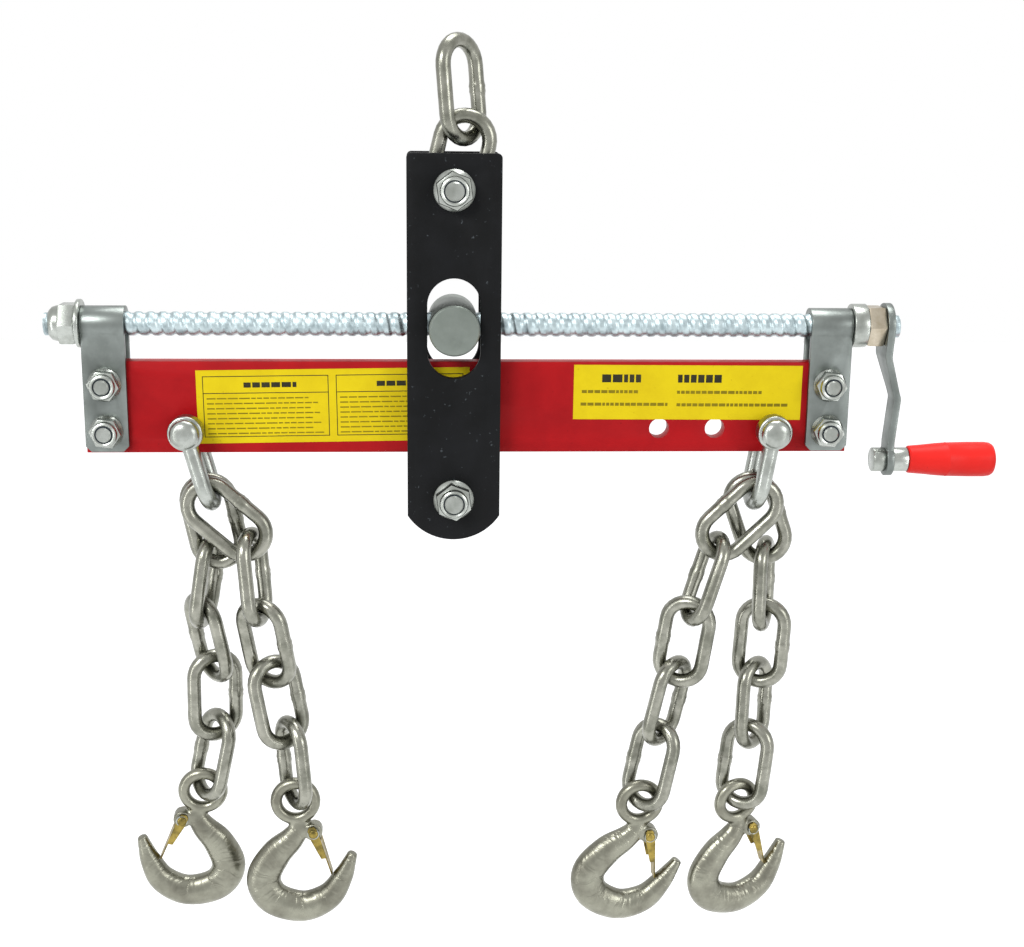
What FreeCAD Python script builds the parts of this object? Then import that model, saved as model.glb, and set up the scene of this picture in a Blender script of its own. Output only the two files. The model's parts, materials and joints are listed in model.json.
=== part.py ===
import FreeCAD, Part
import math
import os
import Sketcher
from FreeCAD import Placement, Rotation, Vector

# Engine load leveler: a flat bar with a lead screw over it, a hanger that the screw draws along
# the bar, and four short chains with hooks.
# X runs along the bar towards the crank, Y away from the front, Z up.
# The origin is the inside top of the lifting link, where a crane hook carries the whole tool.

os.makedirs("parts", exist_ok=True)
doc = FreeCAD.newDocument("LoadLeveler")
sheet = doc.addObject("Spreadsheet::Sheet", "Sizes")

# Driving sizes in millimetres
SIZES = [
    ("link_length", 56.5, "outside length of a chain link"),
    ("link_width", 32.5, "outside width of a chain link"),
    ("top_link_length", 58.5, "outside length of the lifting link and the hanger link"),
    ("top_link_width", 34.0, "outside width of the lifting link and the hanger link"),
    ("link_bar", 8.0, "round bar that all links are bent from"),
    ("link_gap", 0.35, "space left where one link bears on the next"),
    ("plate_width", 50.0, "hanger plate"),
    ("plate_thickness", 5.0, "hanger plate"),
    ("plate_space", 26.0, "clear space between the two hanger plates"),
    ("plate_above_bolt", 19.0, "top bolt to the top edge of the plate"),
    ("plate_below_bolt", 22.5, "bottom bolt to the lowest point of the plate"),
    ("plate_corner", 2.5, "rounding of the plate's top corners"),
    ("plate_foot_rise", 13.5, "height of the arc that ends the plate"),
    ("top_bolt_rise", 72.5, "screw axis up to the top bolt"),
    ("roller_drop", 93.5, "screw axis down to the roller bolt"),
    ("plate_bolt", 12.0, "thread diameter of the two hanger bolts"),
    ("plate_bolt_flats", 19.0, "wrench size of the hanger bolts and nuts"),
    ("plate_bolt_head", 7.5, "height of their heads"),
    ("plate_nut_height", 10.0, "height of their nuts"),
    ("thread_showing", 3.0, "bolt end that stands out of a nut"),
    ("sleeve_diameter", 15.0, "sleeve on the top bolt that carries the link"),
    ("roller_diameter", 24.0, "roller on the bottom bolt"),
    ("side_play", 0.3, "end play of the sleeve and the roller between the plates"),
    ("running_fit", 0.1, "radial clearance of turning fits"),
    ("bolt_clearance", 0.25, "radial clearance of a bolt in its hole"),
    ("trunnion_diameter", 27.0, "cross nut that the screw runs through"),
    ("trunnion_length", 54.0, "cross nut, front to back"),
    ("trunnion_chamfer", 1.0, "edge of the cross nut"),
    ("slot_play", 0.7, "cross nut to the side of its slot"),
    ("slot_travel", 25.0, "how far the cross nut can rise and fall in the slots"),
    ("beam_length", 416.0, "flat bar"),
    ("beam_height", 50.0, "flat bar"),
    ("beam_thickness", 10.0, "flat bar"),
    ("beam_drop", 19.7, "screw axis down to the top of the bar"),
    ("beam_left_reach", 198.0, "left end of the bar to the middle of the hanger, as it stands"),
    ("hole_diameter", 11.0, "spare holes in the bar"),
    ("hole_pitch", 31.0, "the three holes near the crank"),
    ("hole_rise", 13.0, "hole centres above the lower edge of the bar"),
    ("right_pin_inset", 42.5, "right end of the bar to its shackle pin"),
    ("left_pin_inset", 54.5, "left end of the bar to its shackle pin"),
    ("bracket_width", 23.0, "strap that holds the screw at each end"),
    ("strap_thickness", 3.0, "bracket strap"),
    ("strap_seat", 0.0, "gap between the strap's legs and the bar"),
    ("strap_foot_gap", 1.0, "leg ends above the lower edge of the bar"),
    ("strap_corner", 3.0, "sloped corners of the leg ends"),
    ("bracket_bolt", 10.0, "thread diameter of the bracket bolts"),
    ("bracket_bolt_flats", 16.0, "wrench size of the bracket bolts and nuts"),
    ("bracket_bolt_head", 6.4, "height of their heads"),
    ("bracket_nut_height", 8.0, "height of their nuts"),
    ("bracket_bolt_inset", 12.2, "bolts in from the upper and lower edge of the bar"),
    ("screw_diameter", 13.0, "lead screw over its threads"),
    ("washer_diameter", 26.0, "washer at the left end"),
    ("washer_thickness", 2.4, "washer at the left end"),
    ("washer_play", 0.2, "end play of the screw at each bracket"),
    ("screw_nut_flats", 21.0, "wrench size of the nuts on the screw"),
    ("end_nut_height", 13.0, "nut at the left end"),
    ("collar_diameter", 24.0, "collar at the crank end"),
    ("collar_length", 8.2, "collar at the crank end"),
    ("crank_nut_height", 10.0, "nut behind the crank"),
    ("screw_left_end", 4.0, "screw that stands out at the left"),
    ("screw_right_end", 4.5, "screw that stands out beyond the crank"),
    ("crank_thickness", 4.0, "crank strap"),
    ("crank_hub_width", 25.0, "round end of the crank on the screw"),
    ("crank_foot_width", 18.0, "round end of the crank at the grip"),
    ("crank_waist_width", 12.5, "crank strap between its round ends"),
    ("crank_waist_drop", 36.0, "screw axis down to where the strap is narrow"),
    ("crank_radius", 75.5, "screw axis to grip axis"),
    ("crank_bulge", 7.5, "how far the strap bows out beyond its hub"),
    ("crank_foot_offset", 5.5, "how far the grip end stands out beyond the hub"),
    ("grip_length", 49.0, "plastic grip"),
    ("grip_diameter", 19.6, "grip at its thick end"),
    ("grip_neck_diameter", 15.4, "grip beside the strap"),
    ("grip_rounding", 3.6, "sloped edge at the end of the grip"),
    ("grip_pin", 8.0, "pin that the grip turns on"),
    ("grip_pin_head", 13.5, "riveted head of the pin"),
    ("grip_pin_head_length", 7.0, "riveted head of the pin"),
    ("grip_swell", 26.0, "how far from its neck the grip reaches its full diameter"),
    ("grip_collar_length", 9.0, "steel collar between strap and grip"),
    ("grip_wall", 4.0, "closed end of the grip beyond the pin"),
    ("shackle_bar", 9.0, "round bar of the shackles"),
    ("shackle_width", 29.0, "between the bar centres of the shackle's legs"),
    ("shackle_depth", 43.5, "pin axis to the bar centre at the bottom of the bow"),
    ("shackle_ear", 19.0, "flattened eyes of the shackle"),
    ("shackle_pin", 10.0, "pin through the bar"),
    ("pin_head_diameter", 16.0, "head of the pin"),
    ("pin_head_length", 5.5, "head of the pin"),
    ("pin_end", 4.0, "pin end behind the rear eye"),
    ("chain_side", 5.5, "chain centres in front of and behind the middle of the bow"),
    ("hook_eye_radius", 11.0, "eye centre to the centre of its bar"),
    ("hook_eye_bar", 7.0, "bar of the hook's eye"),
    ("lug_diameter", 10.5, "lug that holds the latch"),
    ("lug_width", 8.0, "lug, front to back"),
    ("rivet_diameter", 3.2, "latch rivet"),
    ("latch_sheet", 1.2, "sheet of the latch"),
    ("latch_length", 28.5, "rivet to the end of the latch"),
    ("latch_tip_width", 6.5, "latch where it meets the hook's tip"),
    ("latch_cheek", 8.5, "cheeks of the latch at the rivet"),
    ("latch_play", 0.3, "latch to the sides of the lug"),
]

for row, (name, number, note) in enumerate(SIZES, start=1):
    sheet.set("A%d" % row, name)
    sheet.set("B%d" % row, str(number))
    sheet.setAlias("B%d" % row, name)
    sheet.set("C%d" % row, note)
doc.recompute()

# Flats round a bent bar and along half a turn of it; the bar's section keeps the area of the round one
SECTION_SIDES = 8
BEND_STEPS = 5
AREA_MATCH = math.sqrt(2 * math.pi / SECTION_SIDES / math.sin(2 * math.pi / SECTION_SIDES))

# Flats round the hook's body and lug, and round a shackle's eyes
HOOK_SIDES = 8
EAR_SIDES = 16

# The hook's body from its eye to its tip: x, z, width in the hook's plane and depth across it
HOOK_STATIONS = [
    (0.5, -11.0, 13.0, 7.0),
    (0.5, -17.0, 12.5, 9.5),
    (-5.0, -24.0, 15.5, 12.5),
    (-14.7, -32.5, 19.0, 14.5),
    (-23.0, -46.5, 21.0, 15.5),
    (-18.5, -60.0, 21.0, 15.5),
    (-2.0, -66.8, 19.5, 15.5),
    (13.5, -61.8, 17.0, 14.5),
    (22.5, -50.5, 13.0, 12.0),
    (27.0, -42.0, 9.0, 9.5),
    (30.0, -35.5, 6.0, 7.0),
]
RIVET_PLACE = Vector(8.8, 0, -19.3)
BOWL_CENTRE = Vector(0, 0, -44.0)

parts = {}
marks = []


def size(name):
    return float(sheet.get(name))


def value(expression):
    return float(sheet.evalExpression(expression))


def keep(node, item, place=None):
    """Name a finished object after its file and put it where it belongs."""
    item.Label = node
    item.Placement = place or Placement()
    parts[node] = item
    return item


def keep_shape(node, shape, place=None):
    item = doc.addObject("Part::Feature", node)
    item.Shape = shape
    return keep(node, item, place)


def mark(kind, node, point, axis):
    """Remember where a piece turns, for the list that the build prints."""
    marks.append((kind, node, point, axis))


# Sketch helpers

def new_body(node):
    return doc.addObject("PartDesign::Body", node)


def new_sketch(body, name, role):
    sketch = body.newObject("Sketcher::SketchObject", name)
    plane = [item for item in body.Origin.OriginFeatures if item.Role == role][0]
    sketch.AttachmentSupport = [(plane, "")]
    sketch.MapMode = "FlatFace"
    return sketch


def bind(sketch, kind, geometry, point, expression):
    """Tie one coordinate of a sketch point to the sheet."""
    place = Sketcher.Constraint(kind, -1, 1, geometry, point, value(expression))
    sketch.setExpression("Constraints[%d]" % sketch.addConstraint(place), expression)


def bind_radius(sketch, geometry, expression):
    radius = Sketcher.Constraint("Radius", geometry, value(expression))
    sketch.setExpression("Constraints[%d]" % sketch.addConstraint(radius), expression)


def circle(sketch, across, up, radius):
    centre = Vector(value(across), value(up), 0)
    index = sketch.addGeometry(Part.Circle(centre, Vector(0, 0, 1), value(radius)), False)
    bind(sketch, "DistanceX", index, 3, across)
    bind(sketch, "DistanceY", index, 3, up)
    bind_radius(sketch, index, radius)


def polygon(sketch, corners):
    """Closed outline of straight lines; every corner is a pair of expressions."""
    points = [Vector(value(across), value(up), 0) for across, up in corners]
    count = len(points)
    first = sketch.GeometryCount
    for index in range(count):
        line = Part.LineSegment(points[index], points[(index + 1) % count])
        sketch.addGeometry(line, False)
    for index in range(count):
        joint = Sketcher.Constraint("Coincident", first + index, 2, first + (index + 1) % count, 1)
        sketch.addConstraint(joint)
    for index, (across, up) in enumerate(corners):
        bind(sketch, "DistanceX", first + index, 1, across)
        bind(sketch, "DistanceY", first + index, 1, up)


def rectangle(sketch, left, bottom, right, top):
    polygon(sketch, [(left, bottom), (right, bottom), (right, top), (left, top)])


def arc_and_legs(sketch, radius, half_width, foot):
    """Loop of more than half a turn about the origin, with two straight legs down to the foot."""
    loop, half = value(radius), value(half_width)
    start = -math.asin(math.sqrt(1 - (half / loop) ** 2))
    low = Vector(half, loop * math.sin(start), 0)
    arc = Part.ArcOfCircle(Part.Circle(Vector(0, 0, 0), Vector(0, 0, 1), loop), start, math.pi - start)
    foot_right = Vector(half, value(foot), 0)
    foot_left = Vector(-half, value(foot), 0)
    sketch.addGeometry(arc, False)
    sketch.addGeometry(Part.LineSegment(Vector(-low.x, low.y, 0), foot_left), False)
    sketch.addGeometry(Part.LineSegment(foot_left, foot_right), False)
    sketch.addGeometry(Part.LineSegment(foot_right, low), False)
    for first, first_end, second, second_end in ((0, 2, 1, 1), (1, 2, 2, 1), (2, 2, 3, 1), (3, 2, 0, 1)):
        sketch.addConstraint(Sketcher.Constraint("Coincident", first, first_end, second, second_end))
    sketch.addConstraint(Sketcher.Constraint("Coincident", 0, 3, -1, 1))
    bind_radius(sketch, 0, radius)
    bind(sketch, "DistanceX", 0, 1, half_width)
    bind(sketch, "DistanceX", 0, 2, "-(%s)" % half_width)
    bind(sketch, "DistanceX", 1, 2, "-(%s)" % half_width)
    bind(sketch, "DistanceX", 2, 2, half_width)
    bind(sketch, "DistanceY", 1, 2, foot)
    bind(sketch, "DistanceY", 2, 2, foot)


def pad(body, sketch, length):
    """Pad half the length to each side of the sketch's plane."""
    feature = body.newObject("PartDesign::Pad", sketch.Name + "_pad")
    feature.Profile = sketch
    feature.SideType = "Symmetric"
    feature.setExpression("Length", length)
    body.Tip = feature
    return feature


def cut_through(body, sketch, length):
    """Pocket both ways from the sketch's plane."""
    feature = body.newObject("PartDesign::Pocket", sketch.Name + "_cut")
    feature.Profile = sketch
    feature.SideType = "Symmetric"
    feature.setExpression("Length", length)
    body.Tip = feature
    return feature


def picked_edges(feature, wanted):
    """Names of those edges of the last feature that the test picks."""
    doc.recompute()
    names = []
    for index, edge in enumerate(feature.Shape.Edges, start=1):
        if wanted(edge):
            names.append("Edge%d" % index)
    return names


def round_edges(body, feature, radius, wanted):
    fillet = body.newObject("PartDesign::Fillet", feature.Name + "_round")
    fillet.Base = (feature, picked_edges(feature, wanted))
    fillet.setExpression("Radius", radius)
    body.Tip = fillet


def slope_edges(body, feature, amount, wanted):
    chamfer = body.newObject("PartDesign::Chamfer", feature.Name + "_slope")
    chamfer.Base = (feature, picked_edges(feature, wanted))
    chamfer.setExpression("Size", amount)
    body.Tip = chamfer


def revolve_about_x(body, sketch):
    feature = body.newObject("PartDesign::Revolution", sketch.Name + "_turn")
    feature.Profile = sketch
    feature.ReferenceAxis = (sketch, ["H_Axis"])
    feature.Angle = 360.0
    body.Tip = feature
    return feature


# Plain shapes for turned and bent stock

def rod(diameter, start, end, axis):
    """Solid cylinder along an axis through the origin, from one distance to another."""
    return Part.makeCylinder(diameter / 2, end - start, axis * start, axis)


def tube(diameter, bore, start, end, axis):
    return rod(diameter, start, end, axis).cut(rod(bore, start - 1, end + 1, axis))


def hexagon(across_flats, height, bore, start_angle=30):
    """Plain nut or bolt head that stands on the XY plane."""
    corner = across_flats / math.sqrt(3)
    turns = [math.radians(60 * step + start_angle) for step in range(7)]
    outline = [Vector(corner * math.cos(turn), corner * math.sin(turn), 0) for turn in turns]
    prism = Part.Face(Part.makePolygon(outline)).extrude(Vector(0, 0, height))
    if bore > 0:
        prism = prism.cut(Part.makeCylinder(bore / 2, height + 2, Vector(0, 0, -1)))
    return prism


TO_BACK = Rotation(Vector(1, 0, 0), -90)
TO_FRONT = Rotation(Vector(1, 0, 0), 90)
TO_RIGHT = Rotation(Vector(0, 1, 0), 90)
TO_LEFT = Rotation(Vector(0, 1, 0), -90)
X_AXIS = Vector(1, 0, 0)
Y_AXIS = Vector(0, 1, 0)


def placed(shape, point, turn=Rotation()):
    copy = shape.copy()
    copy.Placement = Placement(point, turn)
    return copy


def bolt(diameter, flats, head, front, back):
    """Bolt along Y with its head behind: the shank runs from -front to the head's face at back."""
    shank = rod(diameter, -front, back, Y_AXIS)
    return shank.fuse(placed(hexagon(flats, head, 0), Vector(0, back, 0), TO_BACK))


# Bent bars, drawn with flats between rings of corners

def ring(centre, outward, across, sides):
    """Corners round one section of a bar; outward and across hold its half sizes."""
    points = []
    for step in range(sides):
        turn = 2 * math.pi * (step + 0.5) / sides
        points.append(centre + outward * math.cos(turn) + across * math.sin(turn))
    return points


def flat_face(points):
    return Part.Face(Part.makePolygon(points + points[:1]))


def prism(diameter, sides, length):
    """Round stock with flats, from the origin along Y."""
    half = diameter / 2
    outline = ring(Vector(), Vector(half, 0, 0), Vector(0, 0, half), sides)
    return flat_face(outline).extrude(Vector(0, length, 0))


def skin(rings, closed):
    """Solid with flat facets between successive rings, closed on itself or with end caps."""
    count = len(rings[0])
    faces = []
    following = rings[1:] + rings[:1] if closed else rings[1:]
    for low, high in zip(rings, following):
        for first in range(count):
            second = (first + 1) % count
            corner = low[second] - low[first]
            normal = corner.cross(high[first] - low[first])
            if abs(normal.dot(high[second] - low[first])) < 0.000001 * normal.Length:
                faces.append(flat_face([low[first], low[second], high[second], high[first]]))
            else:
                faces.append(flat_face([low[first], low[second], high[second]]))
                faces.append(flat_face([low[first], high[second], high[first]]))
    if not closed:
        faces.append(flat_face(rings[0]))
        faces.append(flat_face(rings[-1]))
    shell = Part.Shell(faces)
    shell.sewShape()
    solid = Part.Solid(shell)
    if solid.Volume < 0:
        solid.reverse()
    return solid


def bend_rings(centre, radius, bar, start, turn, steps, side_axis):
    """Rings along an arc about side_axis whose flats touch the round bend halfway between them."""
    along = Vector(0, 0, 1)
    across = side_axis.cross(along)
    mitre = 1 / math.cos(math.radians(turn / steps / 2))
    half = bar / 2 * AREA_MATCH
    rings = []
    for step in range(steps):
        angle = math.radians(start + turn * (step + 0.5) / steps)
        outward = (across * math.cos(angle) + along * math.sin(angle)) * mitre
        rings.append(ring(centre + outward * radius, outward * half, side_axis * half, SECTION_SIDES))
    return rings


def leg_end(outer_ring, height):
    """The same corners carried straight up or down to a height."""
    return [Vector(point.x, point.y, height) for point in outer_ring]


class Link:
    """Sizes, centre line and solid of a link that stands upright in the XZ plane.

    top_end and low_end are its bends with half of each leg: all that bears on the next piece.
    """

    def __init__(self, length, width):
        self.bar = size("link_bar")
        self.half = (length - width) / 2
        self.radius = (width - self.bar) / 2
        self.bend = Vector(0, 0, self.half)
        self.lowest = Vector(0, 0, -self.half - self.radius)
        self.line = self.make_line()
        upper = bend_rings(self.bend, self.radius, self.bar, 0, 180, BEND_STEPS, Y_AXIS)
        lower = bend_rings(-self.bend, self.radius, self.bar, 180, 180, BEND_STEPS, Y_AXIS)
        self.solid = skin(upper + lower, True)
        self.top_end = skin([leg_end(upper[0], 0)] + upper + [leg_end(upper[-1], 0)], False)
        self.low_end = skin([leg_end(lower[0], 0)] + lower + [leg_end(lower[-1], 0)], False)

    def make_line(self):
        half, radius = self.half, self.radius
        top = Part.Arc(Vector(radius, 0, half), Vector(0, 0, half + radius), Vector(-radius, 0, half))
        left = Part.LineSegment(Vector(-radius, 0, half), Vector(-radius, 0, -half))
        low = Part.Arc(Vector(-radius, 0, -half), Vector(0, 0, -half - radius), Vector(radius, 0, -half))
        right = Part.LineSegment(Vector(radius, 0, -half), Vector(radius, 0, half))
        return Part.Wire([curve.toShape() for curve in (top, left, low, right)])


def turned(tilt, lean, roll):
    """Roll about its own length, lean its lower end to the front, tilt its lower end to the right."""
    turn = Rotation(Vector(0, 1, 0), -tilt)
    turn = turn.multiply(Rotation(Vector(1, 0, 0), -lean))
    return turn.multiply(Rotation(Vector(0, 0, 1), roll))


def moved(shape, place):
    copy = shape.copy()
    copy.Placement = place
    return copy


def direction_along(line, point):
    """Direction of a centre line at the point of it that lies nearest."""
    vertex = Part.Vertex(point)
    edge = min(line.Edges, key=lambda item: item.distToShape(vertex)[0])
    return edge.tangentAt(edge.Curve.parameter(point))


def seat(end, line, turn, hold, start, carrier, carrier_line, pull, reach):
    """Put the point hold of a piece at start and pull the piece until its end bears on its carrier.

    The centre lines bring it near, the solid ends then leave link_gap between them.
    Returns the place and the point of the carrier's centre line that it bears on.
    """
    def at(travel):
        return Placement(start + pull * travel - turn.multVec(hold), turn)

    def line_gap(travel):
        return carrier_line.distToShape(moved(line, at(travel)))[0] - reach - size("link_gap")

    step = 0.5
    low = 0.0
    while line_gap(low + step) > 0:
        low += step
    high = low + step
    for _ in range(5):
        middle = (low + high) / 2
        if line_gap(middle) > 0:
            low = middle
        else:
            high = middle
    for _ in range(16):
        spare = carrier.distToShape(moved(end, at(low)))[0] - size("link_gap")
        low += spare
        if abs(spare) < 0.02:
            break
    contact = carrier_line.distToShape(moved(line, at(low)))[1][0][0]
    return at(low), contact


DOWN = Vector(0, 0, -1)
LINK = Link(size("link_length"), size("link_width"))
TOP_LINK = Link(size("top_link_length"), size("top_link_width"))

# Lifting link, and the hanger link that hangs in it a little to one side, as chain lies

LIFTING_POSE = turned(4.7, 0, 48)
HANGER_POSE = turned(-14, 0, 0)


def make_top_links():
    inside = TOP_LINK.half + TOP_LINK.radius - TOP_LINK.bar / 2
    lifting = Placement(LIFTING_POSE.multVec(Vector(0, 0, -inside)), LIFTING_POSE)
    keep_shape("lifting_link", TOP_LINK.solid, lifting)
    carrier = moved(TOP_LINK.low_end, lifting)
    carrier_line = moved(TOP_LINK.line, lifting)
    start = lifting.multVec(TOP_LINK.lowest)
    reach = size("link_bar") + size("link_gap")
    place, contact = seat(TOP_LINK.top_end, TOP_LINK.line, HANGER_POSE, TOP_LINK.bend, start,
                          carrier, carrier_line, DOWN, reach)
    keep_shape("hanger_link", TOP_LINK.solid, place)
    mark("hinge", "hanger_link", contact, direction_along(carrier_line, contact))
    return place


HANGER_PLACE = make_top_links()
FLAT_SHARE = AREA_MATCH * math.cos(math.pi / SECTION_SIDES)
LINK_INSIDE = TOP_LINK.radius - TOP_LINK.bar / 2 * FLAT_SHARE
SLEEVE_REACH = LINK_INSIDE - size("sleeve_diameter") / 2 - size("link_gap")
TOP_BOLT = HANGER_PLACE.multVec(-TOP_LINK.bend) + DOWN * SLEEVE_REACH
SCREW = TOP_BOLT + DOWN * size("top_bolt_rise")
mark("hinge", "front_plate", TOP_BOLT, Y_AXIS)


# Hanger: two slotted plates on bolts, a sleeve, a roller and the cross nut

def make_plate(node, side):
    """One hanger plate about the screw axis: square top, arc foot and an upright slot."""
    body = new_body(node)
    outline = new_sketch(body, node + "_outline", "XZ_Plane")
    half, top = "Sizes.plate_width / 2", "(Sizes.top_bolt_rise + Sizes.plate_above_bolt)"
    shoulder = "(Sizes.plate_foot_rise - Sizes.roller_drop - Sizes.plate_below_bolt)"
    wide, high, low = value(half), value(top), value(shoulder)
    foot = low - size("plate_foot_rise")
    corners = [Vector(wide, low, 0), Vector(wide, high, 0), Vector(-wide, high, 0), Vector(-wide, low, 0)]
    for index in range(3):
        outline.addGeometry(Part.LineSegment(corners[index], corners[index + 1]), False)
    outline.addGeometry(Part.Arc(corners[3], Vector(0, foot, 0), corners[0]), False)
    arc_start, arc_end = outline.Geometry[3].StartPoint, outline.Geometry[3].EndPoint
    left_end = 1 if arc_start.x < arc_end.x else 2
    meetings = ((0, 2, 1, 1), (1, 2, 2, 1), (2, 2, 3, left_end), (0, 1, 3, 3 - left_end))
    for first, first_end, second, second_end in meetings:
        outline.addConstraint(Sketcher.Constraint("Coincident", first, first_end, second, second_end))
    bind(outline, "DistanceX", 0, 1, half)
    bind(outline, "DistanceY", 0, 1, shoulder)
    bind(outline, "DistanceX", 0, 2, half)
    bind(outline, "DistanceY", 0, 2, top)
    bind(outline, "DistanceX", 1, 2, "-" + half)
    bind(outline, "DistanceY", 1, 2, top)
    bind(outline, "DistanceX", 2, 2, "-" + half)
    bind(outline, "DistanceY", 2, 2, shoulder)
    chord = "Sizes.plate_width ^ 2 / 8 / Sizes.plate_foot_rise"
    bind_radius(outline, 3, chord + " + Sizes.plate_foot_rise / 2")
    pad(body, outline, "Sizes.plate_thickness")

    holes = new_sketch(body, node + "_holes", "XZ_Plane")
    bore = "(Sizes.plate_bolt / 2 + Sizes.bolt_clearance)"
    circle(holes, "0", "Sizes.top_bolt_rise", bore)
    circle(holes, "0", "-Sizes.roller_drop", bore)
    cut_through(body, holes, "Sizes.plate_thickness * 3")

    slot = new_sketch(body, node + "_slot", "XZ_Plane")
    radius = "(Sizes.trunnion_diameter / 2 + Sizes.slot_play)"
    round_radius, rise = value(radius), value("Sizes.slot_travel / 2")
    up, down = Vector(0, rise, 0), Vector(0, -rise, 0)
    axis = Vector(0, 0, 1)
    slot.addGeometry(Part.ArcOfCircle(Part.Circle(up, axis, round_radius), 0, math.pi), False)
    left = Part.LineSegment(Vector(-round_radius, rise, 0), Vector(-round_radius, -rise, 0))
    slot.addGeometry(left, False)
    slot.addGeometry(Part.ArcOfCircle(Part.Circle(down, axis, round_radius), math.pi, 2 * math.pi), False)
    right = Part.LineSegment(Vector(round_radius, -rise, 0), Vector(round_radius, rise, 0))
    slot.addGeometry(right, False)
    for first, second in ((0, 1), (1, 2), (2, 3), (3, 0)):
        slot.addConstraint(Sketcher.Constraint("Tangent", first, 2, second, 1))
    bind(slot, "DistanceX", 0, 3, "0")
    bind(slot, "DistanceY", 0, 3, "Sizes.slot_travel / 2")
    bind(slot, "DistanceX", 2, 3, "0")
    bind(slot, "DistanceY", 2, 3, "-Sizes.slot_travel / 2")
    bind_radius(slot, 0, radius)
    last = cut_through(body, slot, "Sizes.plate_thickness * 3")

    def top_corner(edge):
        ends = [vertex.Point for vertex in edge.Vertexes]
        upright = len(ends) == 2 and abs(ends[0].y - ends[1].y) > size("plate_thickness") / 2
        return upright and abs(ends[0].z - high) < 0.01 and abs(abs(ends[0].x) - wide) < 0.01

    round_edges(body, last, "Sizes.plate_corner", top_corner)
    middle = (size("plate_space") + size("plate_thickness")) / 2
    keep(node, body, Placement(SCREW + Vector(0, side * middle, 0), Rotation()))


def make_hanger():
    make_plate("front_plate", -1)
    make_plate("rear_plate", 1)
    outer = size("plate_space") / 2 + size("plate_thickness")
    front = outer + size("plate_nut_height") + size("thread_showing")
    nut = hexagon(size("plate_bolt_flats"), size("plate_nut_height"), size("plate_bolt"), 0)
    nuts = []
    roller_centre = SCREW + DOWN * size("roller_drop")
    for node, centre in (("top_bolt", TOP_BOLT), ("bottom_bolt", roller_centre)):
        shape = bolt(size("plate_bolt"), size("plate_bolt_flats"), size("plate_bolt_head"), front, outer)
        keep_shape(node, shape, Placement(centre, Rotation()))
        nuts.append(placed(nut, centre - Vector(0, outer, 0), TO_FRONT))
    keep_shape("plate_nuts", Part.makeCompound(nuts))

    half = size("plate_space") / 2 - size("side_play")
    bore = size("plate_bolt") + 2 * size("running_fit")
    sleeve = tube(size("sleeve_diameter"), bore, -half, half, Y_AXIS)
    keep_shape("top_sleeve", sleeve, Placement(TOP_BOLT, Rotation()))
    roller = tube(size("roller_diameter"), bore, -half, half, Y_AXIS)
    keep_shape("roller", roller, Placement(roller_centre, Rotation()))
    mark("hinge", "roller", roller_centre, Y_AXIS)


def make_trunnion():
    length, diameter = size("trunnion_length"), size("trunnion_diameter")
    blank = rod(diameter, -length / 2, length / 2, Y_AXIS)
    rims = [edge for edge in blank.Edges if edge.isClosed()]
    blank = blank.makeChamfer(size("trunnion_chamfer"), rims)
    bore = size("screw_diameter") + 2 * size("running_fit")
    blank = blank.cut(rod(bore, -diameter, diameter, X_AXIS))
    keep_shape("trunnion_nut", blank, Placement(SCREW, Rotation()))
    mark("hinge", "trunnion_nut", SCREW, Y_AXIS)


make_hanger()
make_trunnion()

# The bar with its holes

LEFT_END = -size("beam_left_reach")
RIGHT_END = size("beam_length") - size("beam_left_reach")
HOLE_Z = "(Sizes.hole_rise - Sizes.beam_drop - Sizes.beam_height)"
BEAM_RIGHT = "(Sizes.beam_length - Sizes.beam_left_reach)"
LEFT_PIN_X = "(Sizes.left_pin_inset - Sizes.beam_left_reach)"
RIGHT_PIN_X = "(Sizes.beam_length - Sizes.beam_left_reach - Sizes.right_pin_inset)"
BRACKET_BOLTS_Z = [
    "(-Sizes.beam_drop - Sizes.bracket_bolt_inset)",
    "(Sizes.bracket_bolt_inset - Sizes.beam_drop - Sizes.beam_height)",
]
BRACKET_X = [
    "(Sizes.bracket_width / 2 - Sizes.beam_left_reach)",
    "(Sizes.beam_length - Sizes.beam_left_reach - Sizes.bracket_width / 2)",
]


def make_beam():
    body = new_body("beam")
    outline = new_sketch(body, "beam_outline", "XZ_Plane")
    top = "-Sizes.beam_drop"
    rectangle(outline, "-Sizes.beam_left_reach", "(%s - Sizes.beam_height)" % top, BEAM_RIGHT, top)
    pad(body, outline, "Sizes.beam_thickness")
    holes = new_sketch(body, "beam_holes", "XZ_Plane")
    pin_hole = "(Sizes.shackle_pin / 2 + Sizes.running_fit)"
    circle(holes, LEFT_PIN_X, HOLE_Z, pin_hole)
    circle(holes, RIGHT_PIN_X, HOLE_Z, pin_hole)
    for step in (1, 2):
        across = "(%s - Sizes.hole_pitch * %d)" % (RIGHT_PIN_X, step)
        circle(holes, across, HOLE_Z, "Sizes.hole_diameter / 2")
    for across in BRACKET_X:
        for height in BRACKET_BOLTS_Z:
            circle(holes, across, height, "(Sizes.bracket_bolt / 2 + Sizes.bolt_clearance)")
    cut_through(body, holes, "Sizes.beam_thickness * 3")
    keep("beam", body, Placement(SCREW, Rotation()))


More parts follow.
